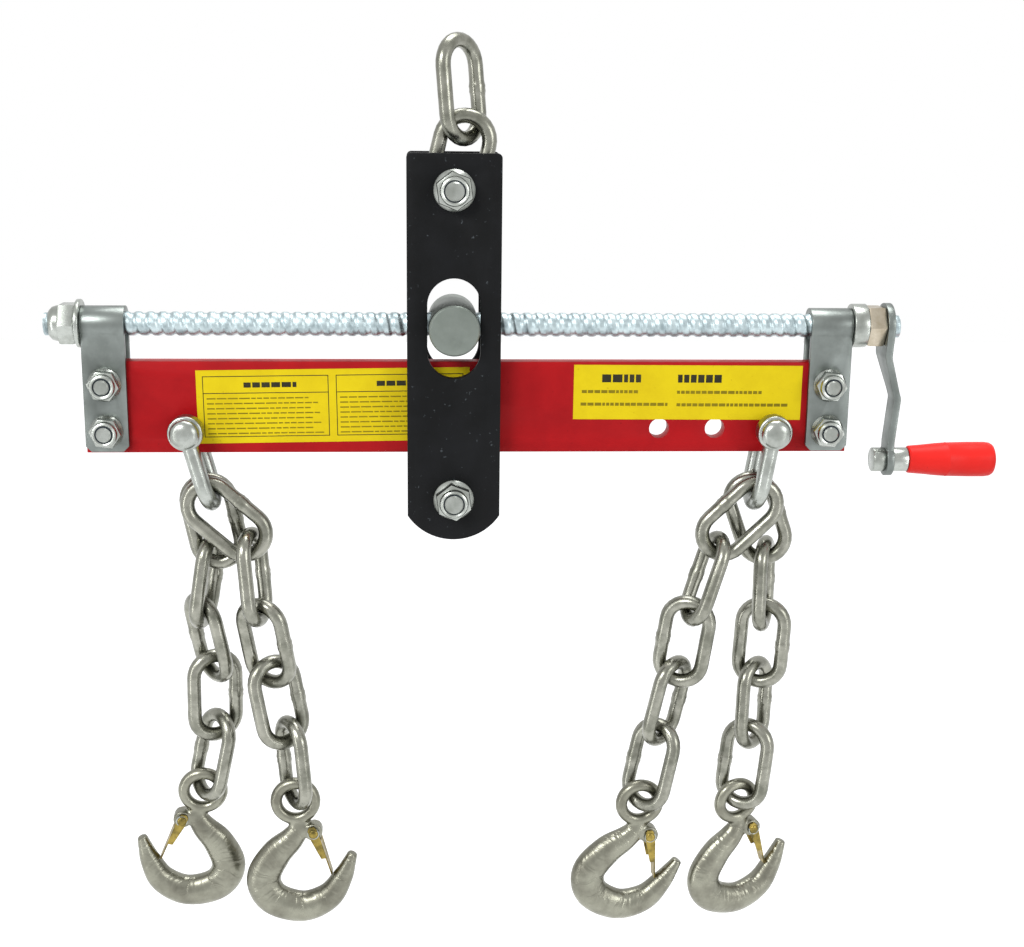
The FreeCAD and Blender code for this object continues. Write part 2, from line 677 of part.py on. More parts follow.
def make_bracket(node, across):
    """Strap bent round the screw like a hinge knuckle, its two legs flat on the bar."""
    body = new_body(node)
    outline = new_sketch(body, node + "_outline", "YZ_Plane")
    loop = "(Sizes.screw_diameter / 2 + Sizes.running_fit)"
    leg = "(Sizes.beam_thickness / 2 + Sizes.strap_seat)"
    foot = "(Sizes.strap_foot_gap - Sizes.beam_drop - Sizes.beam_height)"
    arc_and_legs(outline, "(%s + Sizes.strap_thickness)" % loop, "(%s + Sizes.strap_thickness)" % leg, foot)
    pad(body, outline, "Sizes.bracket_width")
    hollow = new_sketch(body, node + "_hollow", "YZ_Plane")
    arc_and_legs(hollow, loop, leg, "(%s - 1)" % foot)
    cut_through(body, hollow, "Sizes.bracket_width * 2")
    holes = new_sketch(body, node + "_holes", "XZ_Plane")
    for height in BRACKET_BOLTS_Z:
        circle(holes, "0", height, "(Sizes.bracket_bolt / 2 + Sizes.bolt_clearance)")
    last = cut_through(body, holes, "Sizes.beam_thickness * 4")
    low, half = value(foot), size("bracket_width") / 2

    def leg_corner(edge):
        ends = [vertex.Point for vertex in edge.Vertexes]
        if len(ends) != 2:
            return False
        level = abs(ends[0].z - low) < 0.01 and abs(ends[1].z - low) < 0.01
        return level and abs(ends[0].x - ends[1].x) < 0.01 and abs(abs(ends[0].x) - half) < 0.01

    slope_edges(body, last, "Sizes.strap_corner", leg_corner)
    keep(node, body, Placement(SCREW + Vector(value(across), 0, 0), Rotation()))


def make_bracket_fasteners():
    outer = size("beam_thickness") / 2 + size("strap_seat") + size("strap_thickness")
    front = outer + size("bracket_nut_height") + size("thread_showing")
    shank = bolt(size("bracket_bolt"), size("bracket_bolt_flats"), size("bracket_bolt_head"), front, outer)
    nut = hexagon(size("bracket_bolt_flats"), size("bracket_nut_height"), size("bracket_bolt"))
    bolts, nuts = [], []
    for across in BRACKET_X:
        for height in BRACKET_BOLTS_Z:
            point = SCREW + Vector(value(across), 0, value(height))
            bolts.append(placed(shank, point))
            nuts.append(placed(nut, point - Vector(0, outer, 0), TO_FRONT))
    keep_shape("bracket_bolts", Part.makeCompound(bolts))
    keep_shape("bracket_nuts", Part.makeCompound(nuts))


make_beam()
make_bracket("bracket_left", BRACKET_X[0])
make_bracket("bracket_right", BRACKET_X[1])
make_bracket_fasteners()
mark("slide", "beam", SCREW, X_AXIS)

# Lead screw, its washers, nuts and crank; the chain of pieces starts at each bracket's face

WASHER_LEFT = LEFT_END - size("washer_play")
END_NUT = WASHER_LEFT - size("washer_thickness")
COLLAR = RIGHT_END + size("washer_play")
CRANK_NUT = COLLAR + size("collar_length")
CRANK_FACE = CRANK_NUT + size("crank_nut_height")
SCREW_LEFT = END_NUT - size("end_nut_height") - size("screw_left_end")
SCREW_RIGHT = CRANK_FACE + size("crank_thickness") + size("screw_right_end")


def make_screw():
    diameter = size("screw_diameter")
    keep_shape("lead_screw", rod(diameter, SCREW_LEFT, SCREW_RIGHT, X_AXIS), Placement(SCREW, Rotation()))
    washer = tube(size("washer_diameter"), diameter, END_NUT, WASHER_LEFT, X_AXIS)
    keep_shape("end_washer", washer, Placement(SCREW, Rotation()))
    end_nut = hexagon(size("screw_nut_flats"), size("end_nut_height"), diameter)
    keep_shape("end_nut", end_nut, Placement(SCREW + Vector(END_NUT, 0, 0), TO_LEFT))
    collar = tube(size("collar_diameter"), diameter, COLLAR, CRANK_NUT, X_AXIS)
    keep_shape("screw_collar", collar, Placement(SCREW, Rotation()))
    crank_nut = hexagon(size("screw_nut_flats"), size("crank_nut_height"), diameter)
    keep_shape("crank_nut", crank_nut, Placement(SCREW + Vector(CRANK_NUT, 0, 0), TO_RIGHT))
    mark("hinge", "lead_screw", SCREW, X_AXIS)


def make_crank():
    """Flat strap with round ends, bowed outwards between the screw and the grip."""
    body = new_body("crank_arm")
    profile = new_sketch(body, "crank_profile", "XZ_Plane")
    inner = [
        ("0", "Sizes.crank_hub_width"),
        ("0", "-Sizes.crank_hub_width * 0.66"),
        ("Sizes.crank_bulge", "-Sizes.crank_radius * 0.53"),
        ("Sizes.crank_foot_offset", "-Sizes.crank_radius * 0.86"),
        ("Sizes.crank_foot_offset", "(-Sizes.crank_radius - Sizes.crank_foot_width)"),
    ]
    outer = [("(%s + Sizes.crank_thickness)" % across, up) for across, up in reversed(inner)]
    polygon(profile, inner + outer)
    strap = pad(body, profile, "Sizes.crank_hub_width + 2")

    def bend(edge):
        ends = [vertex.Point for vertex in edge.Vertexes]
        if len(ends) != 2 or abs(ends[0].y - ends[1].y) < 1:
            return False
        bends = [value(up) for across, up in inner[1:4]]
        return min(abs(ends[0].z - height) for height in bends) < 0.01

    round_edges(body, strap, "Sizes.crank_thickness * 1.6", bend)

    trim = new_sketch(body, "crank_trim", "YZ_Plane")
    hub, foot, down = size("crank_hub_width") / 2, size("crank_foot_width") / 2, size("crank_radius")
    waist, drop = size("crank_waist_width") / 2, size("crank_waist_drop")
    axis = Vector(0, 0, 1)
    corner = Vector(waist, -drop, 0)
    touch = math.acos(hub / corner.Length) - math.atan2(drop, waist)
    foot_angle = math.acos(waist / foot)
    foot_corner = Vector(waist, foot * math.sin(foot_angle) - down, 0)
    upper = Part.ArcOfCircle(Part.Circle(Vector(0, 0, 0), axis, hub), touch, math.pi - touch)
    hub_corner = Vector(hub * math.cos(touch), hub * math.sin(touch), 0)
    lower_circle = Part.Circle(Vector(0, -down, 0), axis, foot)
    lower = Part.ArcOfCircle(lower_circle, math.pi - foot_angle, 2 * math.pi + foot_angle)

    def mirrored(point):
        return Vector(-point.x, point.y, 0)

    curves = [
        upper,
        Part.LineSegment(mirrored(hub_corner), mirrored(corner)),
        Part.LineSegment(mirrored(corner), mirrored(foot_corner)),
        lower,
        Part.LineSegment(foot_corner, corner),
        Part.LineSegment(corner, hub_corner),
    ]
    for curve in curves:
        trim.addGeometry(curve, False)
    for first, second, kind in ((0, 1, "Tangent"), (1, 2, "Coincident"), (2, 3, "Coincident"),
                                (3, 4, "Coincident"), (4, 5, "Coincident"), (5, 0, "Tangent")):
        trim.addConstraint(Sketcher.Constraint(kind, first, 2, second, 1))
    half_waist = "Sizes.crank_waist_width / 2"
    bind(trim, "DistanceX", 0, 3, "0")
    bind(trim, "DistanceY", 0, 3, "0")
    bind(trim, "DistanceX", 3, 3, "0")
    bind(trim, "DistanceY", 3, 3, "-Sizes.crank_radius")
    bind_radius(trim, 0, "Sizes.crank_hub_width / 2")
    bind_radius(trim, 3, "Sizes.crank_foot_width / 2")
    bind(trim, "DistanceX", 1, 2, "-" + half_waist)
    bind(trim, "DistanceY", 1, 2, "-Sizes.crank_waist_drop")
    bind(trim, "DistanceX", 4, 2, half_waist)
    bind(trim, "DistanceY", 4, 2, "-Sizes.crank_waist_drop")
    bind(trim, "DistanceX", 2, 2, "-" + half_waist)
    bind(trim, "DistanceX", 4, 1, half_waist)
    reach = "(Sizes.crank_hub_width + Sizes.crank_radius * 2)"
    rectangle(trim, "-" + reach, "-" + reach, reach, reach)
    cut_through(body, trim, "Sizes.crank_radius * 2")

    bores = new_sketch(body, "crank_bores", "YZ_Plane")
    circle(bores, "0", "0", "Sizes.screw_diameter / 2")
    circle(bores, "0", "-Sizes.crank_radius", "Sizes.grip_pin / 2")
    cut_through(body, bores, "Sizes.crank_radius * 2")
    keep("crank_arm", body, Placement(SCREW + Vector(CRANK_FACE, 0, 0), Rotation()))


GRIP_AXIS = SCREW - Vector(0, 0, size("crank_radius"))
STRAP_LEFT = CRANK_FACE + size("crank_foot_offset")
STRAP_RIGHT = STRAP_LEFT + size("crank_thickness")
GRIP_LEFT = STRAP_RIGHT + size("grip_collar_length") + size("side_play")


def make_grip():
    """Pin riveted in the strap, and the plastic grip that turns on it."""
    pin_end = GRIP_LEFT + size("grip_length") - size("grip_wall") - size("side_play")
    head_left = STRAP_LEFT - size("grip_pin_head_length")
    head = rod(size("grip_pin_head"), head_left, STRAP_LEFT, X_AXIS)
    collar = rod(size("grip_pin_head"), STRAP_RIGHT, STRAP_RIGHT + size("grip_collar_length"), X_AXIS)
    shank = rod(size("grip_pin"), STRAP_LEFT - 1, pin_end, X_AXIS)
    keep_shape("grip_pin", shank.fuse([head, collar]), Placement(GRIP_AXIS, Rotation()))

    body = new_body("grip")
    profile = new_sketch(body, "grip_profile", "XZ_Plane")
    bore = "(Sizes.grip_pin / 2 + Sizes.running_fit)"
    full = "Sizes.grip_diameter / 2"
    inner_end = "(Sizes.grip_length - Sizes.grip_wall)"
    polygon(profile, [
        ("0", bore),
        ("0", "Sizes.grip_neck_diameter / 2"),
        ("Sizes.grip_swell", full),
        ("(Sizes.grip_length - Sizes.grip_rounding)", full),
        ("Sizes.grip_length", "(%s - Sizes.grip_rounding)" % full),
        ("Sizes.grip_length", "0"),
        (inner_end, "0"),
        (inner_end, bore),
    ])
    revolve_about_x(body, profile)
    keep("grip", body, Placement(GRIP_AXIS + Vector(GRIP_LEFT, 0, 0), Rotation()))
    mark("hinge", "grip", GRIP_AXIS + Vector(GRIP_LEFT, 0, 0), X_AXIS)


make_screw()
make_crank()
make_grip()

# Shackles: pin through the bar, bow hanging below it

SHACKLE_LEAN = {"left": 15.0, "right": -9.0}


def bow_line():
    """Centre line of a shackle's bow, with the pin axis at the origin."""
    half, depth = size("shackle_width") / 2, size("shackle_depth")
    bend = depth - half
    front = Part.LineSegment(Vector(0, -half, 0), Vector(0, -half, -bend))
    low = Part.Arc(Vector(0, -half, -bend), Vector(0, 0, -depth), Vector(0, half, -bend))
    rear = Part.LineSegment(Vector(0, half, -bend), Vector(0, half, 0))
    return Part.Wire([curve.toShape() for curve in (front, low, rear)])


def shackle_shape():
    half, depth, bar = size("shackle_width") / 2, size("shackle_depth"), size("shackle_bar")
    bend = Vector(0, 0, half - depth)
    arc = bend_rings(bend, half, bar, 180, 180, BEND_STEPS, X_AXIS)
    solid = skin([leg_end(arc[0], 0)] + arc + [leg_end(arc[-1], 0)], False)
    ears = []
    for middle in (-half, half):
        ear = prism(size("shackle_ear"), EAR_SIDES, bar)
        ears.append(placed(ear, Vector(0, middle - bar / 2, 0)))
    return solid.fuse(ears).cut(rod(size("shackle_pin"), -depth, depth, Y_AXIS))


def pin_shape():
    outer = (size("shackle_width") + size("shackle_bar")) / 2
    shank = rod(size("shackle_pin"), -outer, outer + size("pin_end"), Y_AXIS)
    head = rod(size("pin_head_diameter"), -outer - size("pin_head_length"), -outer, Y_AXIS)
    return shank.fuse(head)


SHACKLE = shackle_shape()
BOW_LINE = bow_line()
PIN = pin_shape()


def make_shackle(side, across):
    point = SCREW + Vector(value(across), 0, value(HOLE_Z))
    place = Placement(point, Rotation(Vector(0, 1, 0), -SHACKLE_LEAN[side]))
    keep_shape("shackle_" + side, SHACKLE, place)
    keep_shape("shackle_pin_" + side, PIN, place)
    mark("hinge", "shackle_" + side, point, Y_AXIS)
    return place


# Hooks

def eye_shape():
    radius, bar = size("hook_eye_radius"), size("hook_eye_bar")
    return skin(bend_rings(Vector(), radius, bar, 0, 360, 2 * BEND_STEPS, Y_AXIS), True)


def hook_shape():
    """Forged hook in the XZ plane, hanging from the centre of its eye and open to the right."""
    centres = [Vector(across, 0, up) for across, up, width, depth in HOOK_STATIONS]
    rings = []
    for index, (across, up, width, depth) in enumerate(HOOK_STATIONS):
        before = centres[max(index - 1, 0)]
        after = centres[min(index + 1, len(centres) - 1)]
        side = Vector(0, 1, 0).cross((after - before).normalize())
        rings.append(ring(centres[index], side * (width / 2), Vector(0, depth / 2, 0), HOOK_SIDES))
    body = skin(rings, False)
    lug = placed(prism(size("lug_diameter"), HOOK_SIDES, size("lug_width")),
                 RIVET_PLACE - Vector(0, size("lug_width") / 2, 0))
    solid = body.fuse([HOOK_EYE, lug])
    bore = rod(size("rivet_diameter") + 2 * size("running_fit"), -20, 20, Y_AXIS)
    bore.translate(RIVET_PLACE)
    return solid.cut(bore)


def latch_shape():
    """Folded sheet latch: two cheeks riveted through the lug, and a strip that narrows to its end."""
    cheek, length, thickness = size("latch_cheek") / 2, size("latch_length"), size("latch_sheet")
    inner = size("lug_width") / 2 + size("latch_play")
    outer = inner + thickness
    end = size("latch_tip_width") / 2
    side = flat_face([
        Vector(cheek, 0, cheek / 2), Vector(cheek, 0, -length), Vector(cheek - 2 * thickness, 0, -length),
        Vector(-cheek, 0, -cheek / 2), Vector(-cheek, 0, cheek / 2), Vector(-cheek / 2, 0, cheek),
        Vector(cheek / 2, 0, cheek)])
    solid = side.extrude(Vector(0, 2 * outer, 0))
    solid.translate(Vector(0, -outer, 0))
    room = size("lug_diameter") / 2 + size("latch_play")
    corner = Vector(-cheek - thickness, -inner, -length - cheek)
    solid = solid.cut(Part.makeBox(2 * cheek, 2 * inner, 2 * length, corner))
    solid = solid.cut(Part.makeBox(4 * cheek, 2 * inner, room + cheek, Vector(-2 * cheek, -inner, -room)))
    front = flat_face([
        Vector(0, -outer, 2 * cheek), Vector(0, outer, 2 * cheek), Vector(0, outer, -cheek),
        Vector(0, end, -length), Vector(0, -end, -length), Vector(0, -outer, -cheek)])
    taper = front.extrude(Vector(4 * cheek, 0, 0))
    taper.translate(Vector(-2 * cheek, 0, 0))
    solid = solid.common(taper)
    reach = inner + thickness / 2
    return solid.fuse(rod(size("rivet_diameter"), -reach, reach, Y_AXIS))


HOOK_EYE = eye_shape()
HOOK = hook_shape()
LATCH = latch_shape()
EYE_LINE = Part.Wire(Part.Circle(Vector(), Vector(0, 1, 0), size("hook_eye_radius")).toShape())


def latch_turn():
    """Turn of the closed latch about its rivet: it rests against the inside of the hook's tip."""
    low, high = -40.0, 25.0
    for _ in range(16):
        middle = (low + high) / 2
        closed = placed(LATCH, RIVET_PLACE, Rotation(Vector(0, 1, 0), -middle))
        tip = closed.common(Part.makeBox(60, 40, 60, Vector(-20, -20, -90 - size("latch_length") * 0.2)))
        gap = min(piece.distToShape(HOOK)[0] for piece in tip.Solids) if tip.Solids else 9
        if gap > size("link_gap"):
            low = middle
        else:
            high = middle
    return low


LATCH_TURN = latch_turn()


# Chains: how each link lies, from the bow down
# tilt: lower end to the right; lean: lower end to the front; roll: turn about its own length
# aside: where on the bend above it a link bears, in degrees from the lowest point to the right
# slack: how far below its bend the first link is held before it is let down on the bow

CHAINS = {
    "a": {
        "side": "left", "row": -1, "slack": 1.0, "first": (49, 3, 1),
        "links": [(5, 6, 74, -28), (9, -7, -27, 11), (10, 1, 30, 0), (5, 3, -59, 12)],
        "hook": (4.4, 0, 0, -15),
    },
    "b": {
        "side": "left", "row": 1, "slack": 13.5, "first": (11, -2, 1),
        "links": [(-9, 2, 76, -36), (10, -7, -50, 14), (-1, -1, 23, -14), (-12, 2, -50, 3)],
        "hook": (-11.8, -3, 184, -13),
    },
    "c": {
        "side": "right", "row": -1, "slack": 0.3, "first": (-46, 1, -1),
        "links": [(-19, 9, 101, 22), (-7, -5, -20, 17), (-12, -1, 46, -11), (-12, 4, -43, 0)],
        "hook": (-8.2, -2, 7, -6),
    },
    "d": {
        "side": "right", "row": 1, "slack": -0.6, "first": (20, 0, -3),
        "links": [(0, 2, 67, -14), (-2, -3, -20, 22), (-2, 4, 46, -6), (-6, 2, -31, -17)],
        "hook": (4.3, -6, 17, -7),
    },
}


def bearing_point(place, aside):
    """Point on the lower bend of a placed link."""
    swing = math.radians(aside)
    outward = Vector(math.sin(swing), 0, -math.cos(swing))
    return place.multVec(outward * LINK.radius - LINK.bend)


def make_chain(letter, shackle_place):
    plan = CHAINS[letter]
    half, depth = size("shackle_width") / 2, size("shackle_depth")
    sideways = plan["row"] * size("chain_side")
    drop = depth - half + math.sqrt(half ** 2 - sideways ** 2)
    start = shackle_place.multVec(Vector(0, sideways, -drop))
    carrier, carrier_line = moved(SHACKLE, shackle_place), moved(BOW_LINE, shackle_place)
    reach = (size("shackle_bar") + size("link_bar")) / 2 + size("link_gap")
    hold = LINK.bend - Vector(0, 0, plan["slack"])
    turn = turned(*plan["first"])
    place, _ = seat(LINK.top_end, LINK.line, turn, hold, start, carrier, carrier_line, DOWN, reach)
    keep_shape("chain_%s_1" % letter, LINK.solid, place)
    mark("hinge", "chain_%s_1" % letter, start, Y_AXIS)

    reach = size("link_bar") + size("link_gap")
    for number, (tilt, lean, roll, aside) in enumerate(plan["links"], start=2):
        carrier, carrier_line = moved(LINK.low_end, place), moved(LINK.line, place)
        start = bearing_point(place, aside)
        turn = turned(tilt, lean, roll)
        pull = turn.multVec(DOWN)
        place, contact = seat(LINK.top_end, LINK.line, turn, LINK.bend, start,
                              carrier, carrier_line, pull, reach)
        node = "chain_%s_%d" % (letter, number)
        keep_shape(node, LINK.solid, place)
        mark("hinge", node, contact, direction_along(carrier_line, contact))

    tilt, lean, roll, aside = plan["hook"]
    carrier, carrier_line = moved(LINK.low_end, place), moved(LINK.line, place)
    start = bearing_point(place, aside)
    turn = turned(tilt, lean, roll)
    pull = turn.multVec(DOWN)
    reach = (size("link_bar") + size("hook_eye_bar")) / 2 + size("link_gap")
    hook, contact = seat(HOOK_EYE, EYE_LINE, turn, Vector(), start, carrier, carrier_line, pull, reach)
    keep_shape("hook_" + letter, HOOK, hook)
    mark("hinge", "hook_" + letter, contact, direction_along(carrier_line, contact))
    rivet = hook.multiply(Placement(RIVET_PLACE, Rotation()))
    latch = rivet.multiply(Placement(Vector(), Rotation(Vector(0, 1, 0), -LATCH_TURN)))
    keep_shape("latch_" + letter, LATCH, latch)
    mark("hinge", "latch_" + letter, rivet.Base, rivet.Rotation.multVec(Y_AXIS))
    mark("mount", "hook_" + letter, hook.multVec(BOWL_CENTRE), hook.Rotation.multVec(DOWN))


SHACKLE_PLACES = {
    "left": make_shackle("left", LEFT_PIN_X),
    "right": make_shackle("right", RIGHT_PIN_X),
}
for chain_letter, chain_plan in CHAINS.items():
    make_chain(chain_letter, SHACKLE_PLACES[chain_plan["side"]])

# Check everything, then write one file for each piece

doc.recompute()
for item in doc.Objects:
    if "Invalid" in item.State or "Error" in item.State:
        raise RuntimeError("%s failed: %s" % (item.Name, item.State))
for node, item in parts.items():
    if item.Shape.isNull() or not item.Shape.isValid():
        raise RuntimeError("%s has no valid shape" % node)
    item.Shape.exportStep("parts/%s.step" % node)

for kind, node, point, axis in marks:
    numbers = (kind, node, point.x, point.y, point.z, axis.x, axis.y, axis.z)
    print("%s %s %.4f %.4f %.4f %.5f %.5f %.5f" % numbers)
print("screw axis at %.4f, %.4f" % (SCREW.x, SCREW.z))
print("latch turn %.2f" % LATCH_TURN)
print("%d pieces written" % len(parts))
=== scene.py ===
# %% [markdown]
# # An engine load leveler
# This tool hangs from a crane and carries an engine on four short chains. A crank turns a lead screw, the
# red bar travels under its black hanger, and the engine tilts. The shapes that work come from the CAD model.
# Here each of them gets its round bars, threads, folds, welds and finishes.

# %% Load the CAD model
import json
import math
import bmesh
import bpy
from mathutils import Matrix, Vector


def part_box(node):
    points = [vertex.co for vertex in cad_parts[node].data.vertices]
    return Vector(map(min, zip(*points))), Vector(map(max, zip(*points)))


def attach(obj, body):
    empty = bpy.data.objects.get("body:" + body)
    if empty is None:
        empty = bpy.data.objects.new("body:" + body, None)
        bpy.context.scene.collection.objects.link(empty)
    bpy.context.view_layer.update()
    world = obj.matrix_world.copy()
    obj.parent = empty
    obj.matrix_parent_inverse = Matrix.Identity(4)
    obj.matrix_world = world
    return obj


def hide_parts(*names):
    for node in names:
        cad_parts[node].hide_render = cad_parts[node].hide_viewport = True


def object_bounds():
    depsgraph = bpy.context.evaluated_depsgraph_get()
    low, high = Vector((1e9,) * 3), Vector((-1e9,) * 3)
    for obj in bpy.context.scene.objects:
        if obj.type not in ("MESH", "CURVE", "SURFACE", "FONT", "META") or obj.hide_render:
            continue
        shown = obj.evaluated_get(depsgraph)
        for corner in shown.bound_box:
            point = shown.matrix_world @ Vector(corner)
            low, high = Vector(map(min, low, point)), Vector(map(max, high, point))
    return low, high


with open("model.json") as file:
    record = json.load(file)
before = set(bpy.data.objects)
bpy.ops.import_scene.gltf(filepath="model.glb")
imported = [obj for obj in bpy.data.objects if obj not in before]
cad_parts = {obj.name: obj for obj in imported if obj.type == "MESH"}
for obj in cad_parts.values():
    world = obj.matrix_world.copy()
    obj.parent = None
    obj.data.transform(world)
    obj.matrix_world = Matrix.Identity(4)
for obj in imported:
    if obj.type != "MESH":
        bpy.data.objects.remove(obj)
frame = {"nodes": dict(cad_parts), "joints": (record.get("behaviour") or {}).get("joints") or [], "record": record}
cad_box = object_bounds()
nodes = frame["nodes"]
joints = {joint["name"]: joint for joint in frame["joints"]}
mounts = {mount["name"]: mount for mount in frame["record"]["mounts"]}
body_of = {node: body for body, members in frame["record"]["behaviour"]["bodies"].items() for node in members}
MM = 0.001
print("CAD box", [round(v, 4) for v in cad_box[0]], [round(v, 4) for v in cad_box[1]])

# %% [markdown]
# ## Camera
# The photograph was taken from a little above and almost square to the bar. Its place and lens were found by
# lining up bolt centres, bar edges and link ends, so here they are only written down.

# %% Place the camera
CAMERA_PLACE = Vector((-21.557, -839.88, -28.663)) * MM
YAW, PITCH, ROLL = math.radians(3.558), math.radians(13.324), math.radians(0.664)
LENS = 54.73

camera_data = bpy.data.cameras.new("camera")
camera_data.sensor_width = 36
camera_data.lens = LENS
camera = bpy.data.objects.new("camera", camera_data)
bpy.context.scene.collection.objects.link(camera)
ahead = Vector((math.sin(YAW) * math.cos(PITCH), math.cos(YAW) * math.cos(PITCH), -math.sin(PITCH)))
level = Vector((math.cos(YAW), -math.sin(YAW), 0))
upright = level.cross(ahead)
right = level * math.cos(ROLL) + upright * math.sin(ROLL)
up = upright * math.cos(ROLL) - level * math.sin(ROLL)
camera.matrix_world = Matrix.Translation(CAMERA_PLACE) @ Matrix((right, up, -ahead)).transposed().to_4x4()
bpy.context.scene.camera = camera
print("camera looks along", [round(v, 3) for v in ahead])

# %% [markdown]
# ## Floor, backdrop and light
# A product picture on white has no visible horizon. The floor and the world show plain white to the camera and
# in reflections, while they light the object at a gentler level, so that red stays red and steel keeps its shade.

# %% Helpers for nodes and colours
def linear(hex_colour):
    """sRGB hex to the linear values that shaders use."""
    values = [int(hex_colour[i:i + 2], 16) / 255 for i in (1, 3, 5)]
    values = [v / 12.92 if v <= 0.04045 else ((v + 0.055) / 1.055) ** 2.4 for v in values]
    return (*values, 1.0)


def add(tree, kind, settings=None, links=None):
    """Add one node, set its properties or sockets by name, and link its inputs."""
    node = tree.nodes.new(kind)
    for key, wanted in (settings or {}).items():
        if hasattr(node, key):
            setattr(node, key, wanted)
        else:
            node.inputs[key].default_value = wanted
    for socket, source in (links or {}).items():
        tree.links.new(source, node.inputs[socket])
    return node


# %% World
def white_to_the_eye(tree, plain, white):
    """The white shader where the camera or a reflection looks, the plain one for all other light."""
    path = add(tree, "ShaderNodeLightPath")
    either = add(tree, "ShaderNodeMath", {"operation": "MAXIMUM"})
    tree.links.new(path.outputs["Is Camera Ray"], either.inputs[0])
    tree.links.new(path.outputs["Is Glossy Ray"], either.inputs[1])
    seen = add(tree, "ShaderNodeMath", {"operation": "MAXIMUM"})
    tree.links.new(either.outputs[0], seen.inputs[0])
    tree.links.new(path.outputs["Is Transmission Ray"], seen.inputs[1])
    mix = add(tree, "ShaderNodeMixShader")
    tree.links.new(seen.outputs[0], mix.inputs[0])
    tree.links.new(plain, mix.inputs[1])
    tree.links.new(white, mix.inputs[2])
    return mix.outputs[0]


world = bpy.data.worlds.new("studio")
world.use_nodes = True
bpy.context.scene.world = world
sky_tree = world.node_tree
soft_sky = sky_tree.nodes["Background"]
soft_sky.inputs["Color"].default_value = (0.95, 0.97, 1.0, 1)
soft_sky.inputs["Strength"].default_value = 0.50
white_sky = add(sky_tree, "ShaderNodeBackground", {"Color": (1, 1, 1, 1), "Strength": 1.0})
sky = white_to_the_eye(sky_tree, soft_sky.outputs[0], white_sky.outputs[0])
sky_tree.links.new(sky, sky_tree.nodes["World Output"].inputs[0])

# %% [markdown]
# The object hangs, so the floor lies well below it. It glows almost white to the camera and only the rest comes
# from the lamps, which is the part that the object's soft shadow takes away.

# %% Floor
FLOOR_DROP, FLOOR_SIZE = 0.55, 6
floor_mesh = bmesh.new()
bmesh.ops.create_grid(floor_mesh, x_segments=1, y_segments=1, size=FLOOR_SIZE)
bmesh.ops.translate(floor_mesh, verts=floor_mesh.verts, vec=(0, 0, cad_box[0].z - FLOOR_DROP))
floor_data = bpy.data.meshes.new("floor")
floor_mesh.to_mesh(floor_data)
floor_mesh.free()
floor = bpy.data.objects.new("floor", floor_data)
bpy.context.scene.collection.objects.link(floor)
paper = bpy.data.materials.new("white_paper")
paper.use_nodes = True
paper_tree = paper.node_tree
matt = paper_tree.nodes["Principled BSDF"]
matt.inputs["Base Color"].default_value = linear("#d4d4d4")
matt.inputs["Roughness"].default_value = 0.9
glow = add(paper_tree, "ShaderNodeEmission", {"Color": (1, 1, 1, 1), "Strength": 0.8})
lit = add(paper_tree, "ShaderNodeAddShader")
paper_tree.links.new(matt.outputs[0], lit.inputs[0])
paper_tree.links.new(glow.outputs[0], lit.inputs[1])
paper_face = white_to_the_eye(paper_tree, matt.outputs[0], lit.outputs[0])
paper_tree.links.new(paper_face, paper_tree.nodes["Material Output"].inputs["Surface"])
floor_data.materials.append(paper)
print("floor at", round(cad_box[0].z - FLOOR_DROP, 3))

# %% [markdown]
# A large key lamp from the upper left, a weak fill from the right and a lamp overhead give the plain studio
# light. Two upright strips stand at the sides: they draw the long bright lines that round steel bars show.

# %% Soft lamps
def soft_lamp(name, place, width, height, watts):
    data = bpy.data.lights.new(name, "AREA")
    data.shape = "RECTANGLE"
    data.size, data.size_y = width, height
    data.energy = watts
    lamp = bpy.data.objects.new(name, data)
    lamp.location = place
    lamp.rotation_euler = (Vector((0, 0, -0.25)) - Vector(place)).to_track_quat("-Z", "Y").to_euler()
    bpy.context.scene.collection.objects.link(lamp)


soft_lamp("key", (-1.1, -1.5, 1.0), 0.9, 0.6, 27)
soft_lamp("fill", (1.6, -1.3, 0.35), 1.0, 0.7, 8)
soft_lamp("top", (0.2, 0.3, 1.4), 1.2, 0.8, 22)
soft_lamp("left_strip", (-1.3, -0.8, -0.2), 0.14, 1.6, 5)
soft_lamp("right_strip", (1.2, -1.1, -0.2), 0.10, 1.6, 3)
bpy.context.scene.view_settings.view_transform = "Standard"
print("lamps:", len(bpy.data.lights))

# %% [markdown]
# ## Finishes
# Zinc plate on steel is never one grey: it clouds in patches of some millimetres, is brighter where it rubs,
# and has a fine grain. One helper lays those three on a metal, and each real finish chooses its own colours,
# patch size and gloss. Scales are worked out from millimetres, since the coordinates are in metres.

# %% Metal finishes
def per_mm(length):
    """Noise scale for features of about this length in millimetres."""
    return 1000 / length


